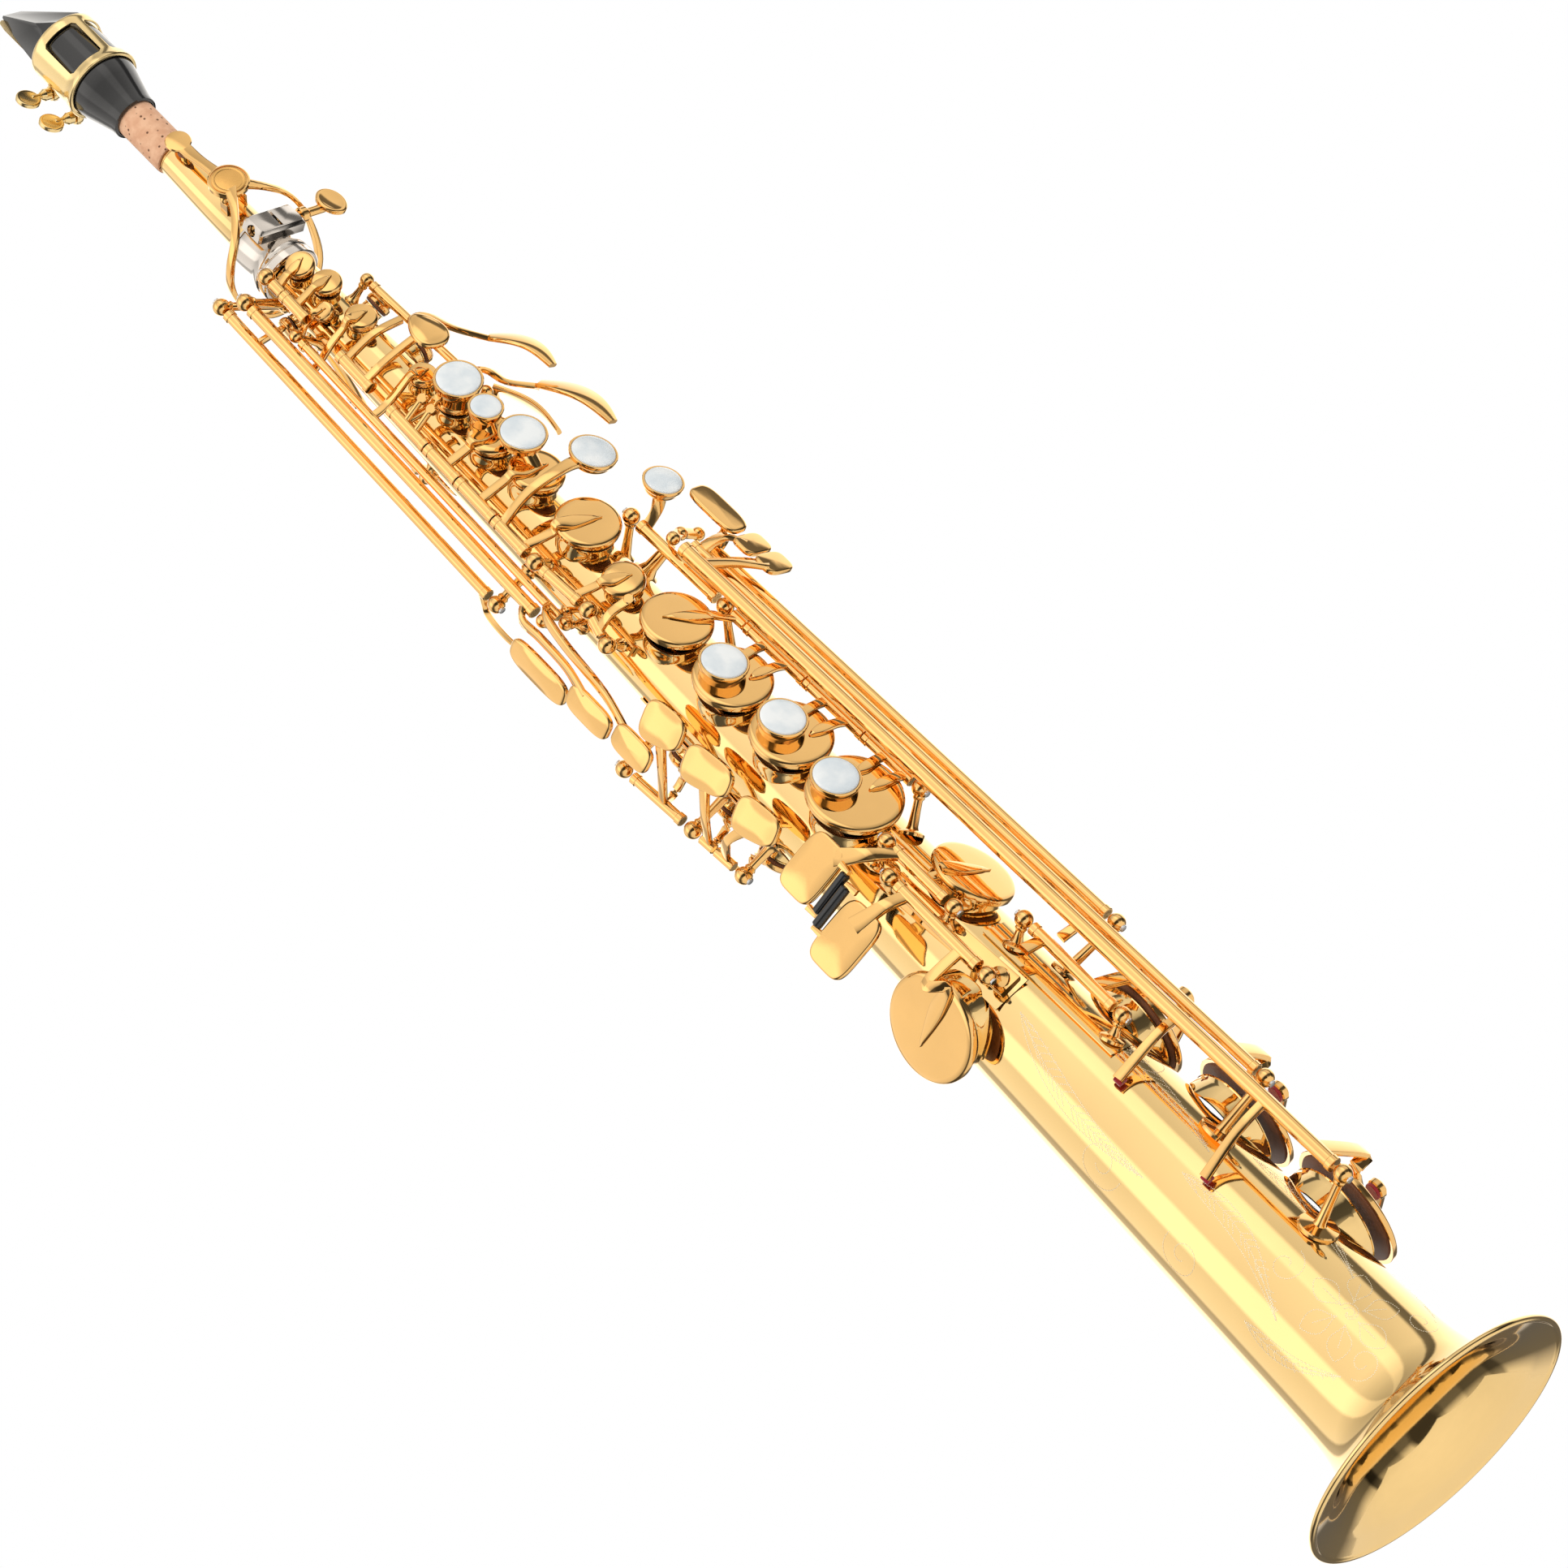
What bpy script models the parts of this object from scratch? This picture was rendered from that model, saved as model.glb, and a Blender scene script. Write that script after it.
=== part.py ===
"""Soprano saxophone: straight conical body standing on its bell, neck, mouthpiece and keywork.

Frame: +Z runs up the bore from the bell rim (Z = 0) to the mouthpiece tip, the pearls face -Y and
the palm keys point to +X.  A place on the instrument is (height, angle, reach): the height above the
rim in millimetres, the angle in degrees from the front (-Y) towards +X, and the distance from the
bore's axis in millimetres.  Every key is shaped with its pad on the tone hole, then a key that
stands open is turned about its rod by its lift.
"""
from collections import namedtuple
from math import atan2, cos, degrees, exp, pi, radians, sin

import bmesh
import bpy
from mathutils import Matrix, Vector

MM = 0.001

# Driving dimensions, in millimetres and degrees.
BODY_TOP = 543.0
CONE_TOP = 591.0
CONE_TOP_RADIUS = 6.3
TAPER = 0.0334
FLARE = 21.0
FLARE_LENGTH = 6.4
WALL = 1.1
BEAD = 1.6
CHIMNEY_HEIGHT = 2.8
CHIMNEY_WALL = 0.8
PAD_GAP = 0.35
CLEARANCE = 0.35
CUP_THICKNESS = 3.4
BALL_RADIUS = 2.9
SMALL_BALL_RADIUS = 2.3
STEM_RADIUS = 1.5
PALM_TWIST = 32.0
VENT_LIFT = 1.2
PEARL_RADIUS = 7.2
PEARL_THICKNESS = 1.6
RECEIVER_TOP = 563.0
NECK_TOP = 634.5
CORK_BOTTOM = 607.0
MOUTHPIECE_BOTTOM = 628.0
MOUTHPIECE_TOP = 695.0
MOUTHPIECE_TURN = 20.0

# Colour, roughness and metallic value of each material.
FINISHES = {
    "body_lacquer": ((0.83, 0.62, 0.28), 0.16, 1.0),
    "key_lacquer": ((0.86, 0.55, 0.20), 0.14, 1.0),
    "nickel_silver": ((0.74, 0.68, 0.62), 0.20, 1.0),
    "ebonite": ((0.012, 0.012, 0.013), 0.18, 0.0),
    "cane": ((0.78, 0.62, 0.36), 0.55, 0.0),
    "cork": ((0.72, 0.47, 0.33), 0.85, 0.0),
    "pearl": ((0.86, 0.88, 0.88), 0.22, 0.0),
}

# Height, angle and key-cup radius of every tone hole.
Hole = namedtuple("Hole", "height angle cup")
HOLES = {
    "high_vent": Hole(536.0, -7.0, 4.9),
    "high_e": Hole(528.0, -95.0, 3.8),
    "b_vent": Hole(524.7, 2.0, 5.1),
    "octave_vent": Hole(517.5, -27.0, 3.4),
    "palm_f": Hole(514.0, 68.0, 4.6),
    "side_c": Hole(507.0, 3.0, 5.4),
    "palm_e_flat": Hole(494.0, 88.0, 5.0),
    "palm_d": Hole(472.0, 100.0, 5.4),
    "side_b_flat": Hole(476.0, 6.0, 4.8),
    "b": Hole(461.0, 12.0, 6.6),
    "bis": Hole(441.5, 10.0, 8.2),
    "a": Hole(422.0, 17.0, 9.2),
    "g": Hole(395.4, 14.0, 10.6),
    "g_sharp": Hole(372.0, -2.0, 7.0),
    "f_sharp": Hole(348.0, 3.0, 11.6),
    "f": Hole(319.8, 0.0, 12.7),
    "high_f_sharp": Hole(326.0, -142.0, 6.0),
    "fork_f_sharp": Hole(303.0, -142.0, 6.2),
    "high_g": Hole(281.0, -142.0, 6.4),
    "e": Hole(292.3, 1.0, 13.2),
    "d": Hole(263.0, 2.0, 15.3),
    "e_flat": Hole(221.7, 33.0, 13.8),
    "low_c": Hole(193.0, -76.0, 17.3),
    "low_c_sharp": Hole(158.6, 88.0, 18.0),
    "low_b": Hole(116.4, 88.0, 19.8),
    "low_b_flat": Hole(73.6, 88.0, 20.4),
}


def place(height, angle, reach):
    """Point in millimetres at a height, an angle from the front and a distance from the axis."""
    turn = radians(angle)
    return Vector((reach * sin(turn), -reach * cos(turn), height))


def outward(angle):
    """Unit vector pointing away from the bore at an angle from the front."""
    return place(0.0, angle, 1.0)


def body_radius(height):
    """Outer radius of the conical body and its bell flare."""
    return CONE_TOP_RADIUS + TAPER * (CONE_TOP - height) + FLARE * exp(-height / FLARE_LENGTH)


def seat(hole):
    """Distance from the axis to the rim of a tone-hole chimney."""
    return body_radius(hole.height) + CHIMNEY_HEIGHT


def hole_radius(hole):
    """Bore of a tone hole under its key cup."""
    return 0.84 * hole.cup - 0.6


# --- solids, each one a closed bmesh in millimetres ---

def turned(profile, steps):
    """Solid of revolution about Z; the (radius, height) profile runs from axis to axis."""
    solid = bmesh.new()
    verts = [solid.verts.new((radius, 0.0, height)) for radius, height in profile]
    edges = [solid.edges.new(pair) for pair in zip(verts, verts[1:])]
    bmesh.ops.spin(solid, geom=verts + edges, cent=(0, 0, 0), axis=(0, 0, 1),
                   angle=2 * pi, steps=steps, use_merge=True)
    bmesh.ops.remove_doubles(solid, verts=solid.verts, dist=0.0001)
    bmesh.ops.recalc_face_normals(solid, faces=solid.faces)
    return solid


def moved(solid, matrix):
    """The same solid after a transform."""
    bmesh.ops.transform(solid, matrix=matrix, verts=solid.verts)
    return solid


def facing(origin, direction, upright=Vector((0, 0, 1))):
    """Matrix that takes Z to a direction and keeps Y as near upright as it can."""
    axis_z = direction.normalized()
    axis_x = upright.cross(axis_z)
    if axis_x.length < 0.01:
        axis_x = Vector((1, 0, 0))
    axis_x.normalize()
    axis_y = axis_z.cross(axis_x)
    matrix = Matrix((axis_x, axis_y, axis_z)).transposed().to_4x4()
    matrix.translation = origin
    return matrix


def cylinder(start, end, radius, steps=8, end_radius=None):
    """Rod, or cone when the end radius differs, between two points."""
    length = (end - start).length
    far = radius if end_radius is None else end_radius
    profile = [(0, 0), (radius, 0), (far, length), (0, length)]
    return moved(turned(profile, steps), facing(start, end - start))


def ball(centre, radius, steps=8, rings=5):
    """Sphere made of a few rings."""
    angles = [pi * ring / rings for ring in range(rings + 1)]
    profile = [(radius * sin(angle), -radius * cos(angle)) for angle in angles]
    return moved(turned(profile, steps), Matrix.Translation(centre))


def box(origin, direction, size, upright=Vector((0, 0, 1))):
    """Block whose third size runs along the direction from its origin."""
    solid = bmesh.new()
    bmesh.ops.create_cube(solid, size=1.0)
    width, height, depth = size
    moved(solid, Matrix.Translation((0, 0, 0.5)))
    moved(solid, Matrix.Diagonal((width, height, depth, 1.0)))
    return moved(solid, facing(origin, direction, upright))


def lofted(rings):
    """Closed solid through rings with the same number of points."""
    solid = bmesh.new()
    loops = [[solid.verts.new(point) for point in ring] for ring in rings]
    for lower, upper in zip(loops, loops[1:]):
        for index in range(len(lower)):
            follow = (index + 1) % len(lower)
            solid.faces.new((lower[index], lower[follow], upper[follow], upper[index]))
    solid.faces.new(list(reversed(loops[0])))
    solid.faces.new(loops[-1])
    bmesh.ops.recalc_face_normals(solid, faces=solid.faces)
    return solid


def bar(points, widths, thickness, up=None):
    """Flat bar swept along points, its broad side facing away from the bore."""
    rings = []
    for index, point in enumerate(points):
        before = points[max(index - 1, 0)]
        after = points[min(index + 1, len(points) - 1)]
        tangent = (after - before).normalized()
        rise = up if up else Vector((point.x, point.y, 0.0)).normalized()
        side = tangent.cross(rise).normalized() * widths[index] / 2
        lift = side.cross(tangent).normalized() * thickness / 2
        rings.append([point + side + lift, point - side + lift, point - side - lift, point + side - lift])
    return lofted(rings)


def slab(outline, matrix, thickness, crown=0.0):
    """Plate with a given outline, its top edge rounded off by the crown."""
    levels = [(1.0, 0.0), (1.0, thickness)]
    if crown:
        smallest = min(max(x for x, _ in outline), max(y for _, y in outline))
        levels = [(1.0, 0.0), (1.0, thickness - crown * 0.6), (1.0 - crown / smallest, thickness)]
    rings = [[matrix @ Vector((x * scale, y * scale, level)) for x, y in outline]
             for scale, level in levels]
    return lofted(rings)


def oval(width, height, steps=12, power=1.0):
    """Outline of an ellipse, squarer as the power falls below one."""
    outline = []
    for step in range(steps):
        turn = 2 * pi * step / steps
        across = abs(cos(turn)) ** power * (1 if cos(turn) >= 0 else -1)
        along = abs(sin(turn)) ** power * (1 if sin(turn) >= 0 else -1)
        outline.append((across * width / 2, along * height / 2))
    return outline


# --- objects ---

def material(name):
    """Principled material of a finish."""
    colour, roughness, metallic = FINISHES[name]
    made = bpy.data.materials.get(name) or bpy.data.materials.new(name)
    made.use_nodes = True
    shader = made.node_tree.nodes["Principled BSDF"]
    shader.inputs["Base Color"].default_value = (*colour, 1.0)
    shader.inputs["Roughness"].default_value = roughness
    shader.inputs["Metallic"].default_value = metallic
    return made


def scratch_object(solids):
    """Temporary object that holds several solids."""
    mesh = bpy.data.meshes.new("scratch")
    whole = bmesh.new()
    for solid in solids:
        solid.to_mesh(mesh)
        whole.from_mesh(mesh)
        solid.free()
    whole.to_mesh(mesh)
    whole.free()
    made = bpy.data.objects.new("scratch", mesh)
    bpy.context.collection.objects.link(made)
    return made


def combined(base, others, operation):
    """Mesh of the base solids joined with, or cut by, the other solids."""
    first = scratch_object(base)
    second = scratch_object(others)
    boolean = first.modifiers.new("combine", "BOOLEAN")
    boolean.operation = operation
    boolean.solver = "EXACT"
    boolean.use_self = True
    boolean.object = second
    evaluated = first.evaluated_get(bpy.context.evaluated_depsgraph_get())
    result = bmesh.new()
    result.from_mesh(evaluated.to_mesh())
    evaluated.to_mesh_clear()
    for used in (first, second):
        mesh = used.data
        bpy.data.objects.remove(used)
        bpy.data.meshes.remove(mesh)
    return result


def union(solids):
    """One closed solid from several that overlap."""
    whole = solids[0]
    for solid in solids[1:]:
        whole = combined([whole], [solid], "UNION")
    return whole


def node(name, solid, finish, pivot=Vector((0, 0, 0))):
    """Named object with its origin on the pivot, shaded smooth between creases."""
    moved(solid, Matrix.Scale(MM, 4) @ Matrix.Translation(-pivot))
    bmesh.ops.triangulate(solid, faces=[face for face in solid.faces if len(face.verts) > 4])
    mesh = bpy.data.meshes.new(name)
    solid.to_mesh(mesh)
    solid.free()
    mesh.materials.append(material(finish))
    mesh.shade_smooth()
    mesh.set_sharp_from_angle(angle=radians(35))
    made = bpy.data.objects.new(name, mesh)
    made.location = pivot * MM
    bpy.context.collection.objects.link(made)
    return made


# --- rods and posts ---

Rod = namedtuple("Rod", "top bottom radius")


def on_rod(rod, height):
    """Point of a rod's centre line at a height."""
    share = (rod.top.z - height) / (rod.top.z - rod.bottom.z)
    return rod.top.lerp(rod.bottom, share)


def angle_of(point):
    """Angle from the front of a point, through the whole circle."""
    return degrees(atan2(point.x, -point.y))


LEFT_STACK = Rod(place(539.0, -43.0, 18.6), place(396.2, -46.5, 22.4), 2.0)
LINK_UPPER = Rod(place(396.2, -46.5, 22.4), place(371.2, -43.0, 22.2), 1.8)
LINK_LOWER = Rod(place(371.2, -43.0, 22.2), place(357.8, -51.0, 23.6), 1.8)
SIDE_E = Rod(place(549.2, -97.0, 24.0), place(404.5, -108.0, 26.2), 1.9)
SIDE_C = Rod(place(540.0, -74.0, 21.6), place(384.4, -84.0, 22.4), 2.1)
SIDE_B_FLAT = Rod(place(518.5, -68.0, 18.0), place(377.5, -74.0, 19.6), 1.5)
TRILL = Rod(place(333.6, -113.0, 33.1), place(279.6, -113.0, 29.6), 1.8)
G_SHARP = Rod(place(390.8, 46.0, 24.2), place(344.4, 41.5, 26.0), 2.0)
RIGHT_STACK = Rod(place(344.4, 41.5, 26.0), place(254.2, 42.0, 29.2), 2.0)
B_FLAT = Rod(place(369.5, 36.5, 31.0), place(68.2, 27.5, 43.3), 2.3)
B_LOW = Rod(place(373.0, 52.0, 30.8), place(107.9, 37.0, 43.2), 1.9)
C_SHARP_LEVER = Rod(place(372.0, 64.0, 33.8), place(179.0, 50.0, 41.2), 1.9)
C_SHARP = Rod(place(197.8, 26.0, 27.2), place(154.0, 26.0, 27.8), 1.9)
E_FLAT = Rod(place(243.6, -6.2, 25.8), place(212.6, -6.1, 26.9), 1.9)
LOW_C = Rod(place(233.5, -22.2, 27.2), place(188.3, -21.7, 28.7), 2.1)
PALM = Rod(place(519.5, 46.0, 17.3), place(459.5, 46.0, 19.2), 1.5)
PALM_LOW = Rod(place(489.0, 128.0, 16.6), place(456.0, 128.0, 17.6), 1.5)
OCTAVE = Rod(place(527.0, -150.0, 15.2), place(462.0, -150.0, 17.5), 1.5)


def post(top, foot, ball_radius=BALL_RADIUS, sink=0.5):
    """Tapered pillar with a ball, growing from just inside a body wall or a rib."""
    height, angle = foot
    base = place(height, angle, body_radius(height) - sink)
    return [cylinder(base, top, STEM_RADIUS + 0.6, 6, STEM_RADIUS), ball(top, ball_radius, 8, 4)]


def posts(rod, ball_radius=BALL_RADIUS, sink=0.5):
    """A pillar and ball at both ends of a rod."""
    made = []
    for end in (rod.top, rod.bottom):
        made += post(end, (end.z, angle_of(end)), ball_radius, sink)
    return made


def rib(top, bottom, angle_top, angle_bottom, width=6.0):
    """Strip that follows the body's outside, a hair clear of it."""
    points = []
    for share in (0.0, 0.5, 1.0):
        height = top + (bottom - top) * share
        angle = angle_top + (angle_bottom - angle_top) * share
        points.append(place(height, angle, body_radius(height) + CLEARANCE + 0.75 + 0.4))
    return bar(points, [width] * 3, 1.5)


# --- key parts ---

def cup(hole, steps=10):
    """Key cup with its pad, resting a pad gap above its chimney."""
    radius = hole.cup
    profile = [(0, 0), (radius, 0), (radius, CUP_THICKNESS - 1.0),
               (radius - 0.9, CUP_THICKNESS - 0.2), (0, CUP_THICKNESS)]
    base = place(hole.height, hole.angle, seat(hole) + PAD_GAP)
    return moved(turned(profile, steps), facing(base, outward(hole.angle)))


def cup_top(hole):
    """Centre of a key cup's outer face."""
    return place(hole.height, hole.angle, seat(hole) + PAD_GAP + CUP_THICKNESS)


def cup_grip(hole):
    """Point just past the middle of a cup's outer face, where its arm ends."""
    return cup_top(hole) + Vector((0.0, 0.0, 0.7)) + outward(hole.angle) * 0.2


def tube(rod, top, bottom):
    """The stretch of hinge tube that a key turns on."""
    return cylinder(on_rod(rod, top), on_rod(rod, bottom), rod.radius)


def cup_arm(rod, height, hole, rise=0.6, width=3.0):
    """Arm from a rod, over the cup's edge, to the middle of the cup."""
    start = on_rod(rod, height)
    end = cup_top(hole)
    middle = start.lerp(end, 0.5)
    middle += Vector((middle.x, middle.y, 0)).normalized() * rise
    tip = end + (end - middle).normalized() * hole.cup * 0.35
    return bar([start, middle, end, tip], [width, width, width, 0.8], 1.7)


def holder(point, angle, depth, radius=PEARL_RADIUS):
    """Round dish that a pearl sits in, its rim level with the point."""
    outer = radius + 0.8
    inner = radius + CLEARANCE
    floor = depth - PEARL_THICKNESS + 0.2
    profile = [(0, 0), (outer - 1.0, 0), (outer, depth * 0.4), (outer, depth), (inner, depth),
               (inner, floor), (0, floor)]
    base = point - outward(angle) * depth
    return moved(turned(profile, 10), facing(base, outward(angle)))


def pearl(point, angle, radius=PEARL_RADIUS):
    """Mother-of-pearl button with a rounded top, standing in its dish."""
    thick = PEARL_THICKNESS
    profile = [(0, CLEARANCE), (radius, CLEARANCE), (radius, thick), (radius - 0.8, thick + 0.35),
               (0, thick + 0.45)]
    base = point - outward(angle) * (thick - 0.2)
    return moved(turned(profile, 10), facing(base, outward(angle)))


def turn_about(rod, angle):
    """Matrix of a turn about a rod, in degrees."""
    axis = (rod.bottom - rod.top).normalized()
    there = Matrix.Translation(rod.top)
    return there @ Matrix.Rotation(radians(angle), 4, axis) @ there.inverted()


def opening_sign(rod, point, away):
    """Sense of rotation about a rod that moves a point away from the bore."""
    axis = (rod.bottom - rod.top).normalized()
    return 1.0 if axis.cross(point - rod.top).dot(away) > 0 else -1.0


def add_key(name, rod, solids, hole, lift, stands_open=True, buttons=()):
    """Make a key, and the pearls or rollers that it carries, at its rest angle."""
    point = cup_top(hole) if isinstance(hole, Hole) else hole[0]
    away = outward(hole.angle) if isinstance(hole, Hole) else hole[1]
    nearest = on_rod(rod, point.z)
    angle = degrees(lift / (point - nearest).length)
    sign = opening_sign(rod, point, away)
    rest = turn_about(rod, sign * angle if stands_open else 0.0)
    node(name, moved(union(solids), rest), "key_lacquer", rod.top)
    for button_name, solid, finish in buttons:
        node(button_name, moved(solid, rest), finish, rod.top)


def pearl_key(name, rod, span, hole, button, arms, lift=1.8, radius=PEARL_RADIUS, depth=4.5,
              rise=0.6, extra=()):
    """Stack key: cup, arms and a pearl in its dish."""
    height, angle, reach, tilt = button
    top = place(height, angle, reach)
    solids = [tube(rod, *span), cup(hole), holder(top, tilt, depth, radius)]
    solids += [cup_arm(rod, arm, hole, rise) for arm in arms]
    solids += extra
    add_key(name, rod, solids, hole, lift, True,
            [(name.replace("_key", "_pearl"), pearl(top, tilt, radius), "pearl")])


# --- body ---

def bell_profile(inside):
    """Points (radius, height) of the cone from the bell rim to the top."""
    heights = (0.0, 2.5, 6.0, 11.0, 19.0, 32.0, BODY_TOP)
    offset = -WALL if inside else 0.0
    return [(body_radius(height) + offset, height) for height in heights]


def make_body():
    """Conical tube with its bell, rim bead, chimneys and soldered posts."""
    outer = bell_profile(False)
    rim = outer[0][0]
    bead = [(rim - 0.2, 0.0), (rim + 0.5, 0.0), (rim + 1.0, 0.8), (rim + 0.5, BEAD + 0.6)]
    shell = turned([(0, 0)] + bead + outer[1:] + [(0, BODY_TOP)], 20)
    solids = [shell]
    for hole in HOLES.values():
        inner = place(hole.height, hole.angle, body_radius(hole.height) * 0.35)
        rim_point = place(hole.height, hole.angle, seat(hole))
        steps = 8 if hole.cup < 8.0 else 12
        solids.append(cylinder(inner, rim_point, hole_radius(hole) + CHIMNEY_WALL, steps))
    solids += soldered_posts() + pinky_bracket()
    body = combined(solids[:1], solids[1:], "UNION")
    inner = bell_profile(True)
    inner[0] = (inner[0][0], -1.0)
    bore = turned([(0, -1.0)] + inner[:-1] + [(inner[-1][0], BODY_TOP + 1), (0, BODY_TOP + 1)], 20)
    drills = []
    for hole in HOLES.values():
        start = place(hole.height, hole.angle, 1.5)
        end = place(hole.height, hole.angle, seat(hole) + 1.0)
        steps = 8 if hole.cup < 8.0 else 12
        drills.append(cylinder(start, end, hole_radius(hole), steps))
    node("body_tube", combined([body], [bore] + drills, "DIFFERENCE"), "body_lacquer")


def pinky_bracket():
    """Pillar and cross bar that carry the upper ends of the three long rods."""
    ends = [rod.top + (rod.top - rod.bottom).normalized() * 2.0 for rod in (B_FLAT, B_LOW, C_SHARP_LEVER)]
    foot = place(378.0, 70.0, body_radius(378.0) - 0.5)
    solids = [cylinder(foot, ends[1], 2.4, 8, 1.6), bar(ends, [3.4] * 3, 2.2)]
    return solids + [ball(end, SMALL_BALL_RADIUS) for end in ends]


def make_ribs():
    """Separate ribs with the posts that carry the rods."""
    lift = -1.9
    left = [rib(541.5, 354.0, -60.0, -50.0, 4.0)]
    left += post(LEFT_STACK.top, (539.0, -60.0), sink=lift)
    left += posts(LINK_LOWER, sink=lift) + post(LEFT_STACK.bottom, (396.2, -50.0), sink=lift)
    node("left_stack_rib", union(left), "key_lacquer")

    low = [rib(249.0, 184.0, -24.0, -13.0, 8.0)]
    low += post(E_FLAT.top, (243.6, -20.0), sink=lift) + post(E_FLAT.bottom, (212.6, -15.0), sink=lift)
    low += post(LOW_C.top, (233.5, -22.0), sink=lift) + post(LOW_C.bottom, (188.3, -15.0), sink=lift)
    node("low_key_rib", union(low), "key_lacquer")


def soldered_posts():
    """Posts that are soldered straight to the body."""
    made = post(G_SHARP.top, (388.0, 84.0)) + post(G_SHARP.bottom, (335.0, 60.0))
    made += post(RIGHT_STACK.bottom, (246.6, 34.0))
    made += post(B_FLAT.bottom, (66.0, 27.0))
    made += post(B_LOW.bottom, (108.2, 26.7))
    made += post(C_SHARP_LEVER.bottom, (181.0, 45.0))
    made += posts(PALM, SMALL_BALL_RADIUS) + posts(PALM_LOW, SMALL_BALL_RADIUS)
    made += posts(OCTAVE, SMALL_BALL_RADIUS)
    made += post(SIDE_C.top, (537.0, -102.0)) + post(SIDE_E.top, (537.0, -106.0))
    made += post(SIDE_B_FLAT.top, (516.5, -100.0), SMALL_BALL_RADIUS)
    made += post(SIDE_E.bottom, (404.5, -98.0))
    made += post(SIDE_C.bottom, (384.4, -94.0), SMALL_BALL_RADIUS)
    made += post(SIDE_B_FLAT.bottom, (376.0, -84.0), SMALL_BALL_RADIUS)
    for end in (TRILL.top, on_rod(TRILL, 302.5), TRILL.bottom):
        made += post(end, (end.z, -108.0))
    made += post(C_SHARP.top, (195.0, 20.0))
    made += post(C_SHARP.bottom, (152.0, 20.0))
    return made


def make_fittings():
    """Guards over the bell keys, thumb hook, strap ring and thumb rest."""
    for name in ("low_c_sharp", "low_b", "low_b_flat"):
        hole = HOLES[name]
        base = body_radius(hole.height) + CLEARANCE
        foot = place(hole.height, 150.0, base + 0.6)
        path = [foot, place(hole.height, 146.0, 37.0), place(hole.height, 128.0, 44.5),
                place(hole.height, 108.0, 45.0), place(hole.height, 90.0, 43.5)]
        bumper = place(hole.height, 90.0, 41.0)
        path[0] = foot + outward(150.0) * 0.7
        solids = [bar(path, [9.0, 6.0, 5.0, 5.0, 9.0], 1.5),
                  cylinder(foot, foot + outward(150.0) * 1.4, 6.0, 12),
                  cylinder(bumper, bumper + outward(90.0) * 3.5, 3.2, 10)]
        node(name + "_guard", union(solids), "key_lacquer")

    hook_height = 318.0
    base = place(hook_height, 178.0, body_radius(hook_height) + CLEARANCE + 1.8)
    hook = [bar([base + Vector((0, 0, 12)), base - Vector((0, 0, 12))], [10, 10], 1.6),
            bar([base + Vector((0, 0.2, 4)), base + Vector((0, 9, 5)), base + Vector((0, 15, 1)),
                 base + Vector((0, 16.5, -7))], [8, 9, 11, 9], 2.2, Vector((0, 0.3, 1)))]
    node("thumb_hook", union(hook), "key_lacquer")

    ring_height = 372.0
    base = place(ring_height, 178.0, body_radius(ring_height) + CLEARANCE + 1.3)
    ring = bmesh.new()
    bmesh.ops.create_circle(ring, segments=6, radius=1.2)
    moved(ring, Matrix.Translation((4.5, 0, 0)) @ Matrix.Rotation(pi / 2, 4, "X"))
    bmesh.ops.spin(ring, geom=ring.verts[:] + ring.edges[:], cent=(0, 0, 0), axis=(0, 0, 1),
                   angle=2 * pi, steps=12, use_merge=True)
    bmesh.ops.recalc_face_normals(ring, faces=ring.faces)
    moved(ring, facing(base + Vector((0, 5.2, 0)), Vector((1, 0, 0))))
    plate = bar([base + Vector((0, 0, 8)), base - Vector((0, 0, 8))], [9, 9], 1.6)
    node("strap_ring", union([plate, ring]), "key_lacquer")

    rest_height = 440.0
    base = place(rest_height, 178.0, body_radius(rest_height) + CLEARANCE + 0.2)
    rest = moved(turned([(0, 0), (6.5, 0), (6.8, 2.0), (5.8, 3.0), (0, 3.4)], 14),
                 facing(base, outward(178.0)))
    node("thumb_rest", rest, "ebonite")


# --- neck and mouthpiece ---

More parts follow.
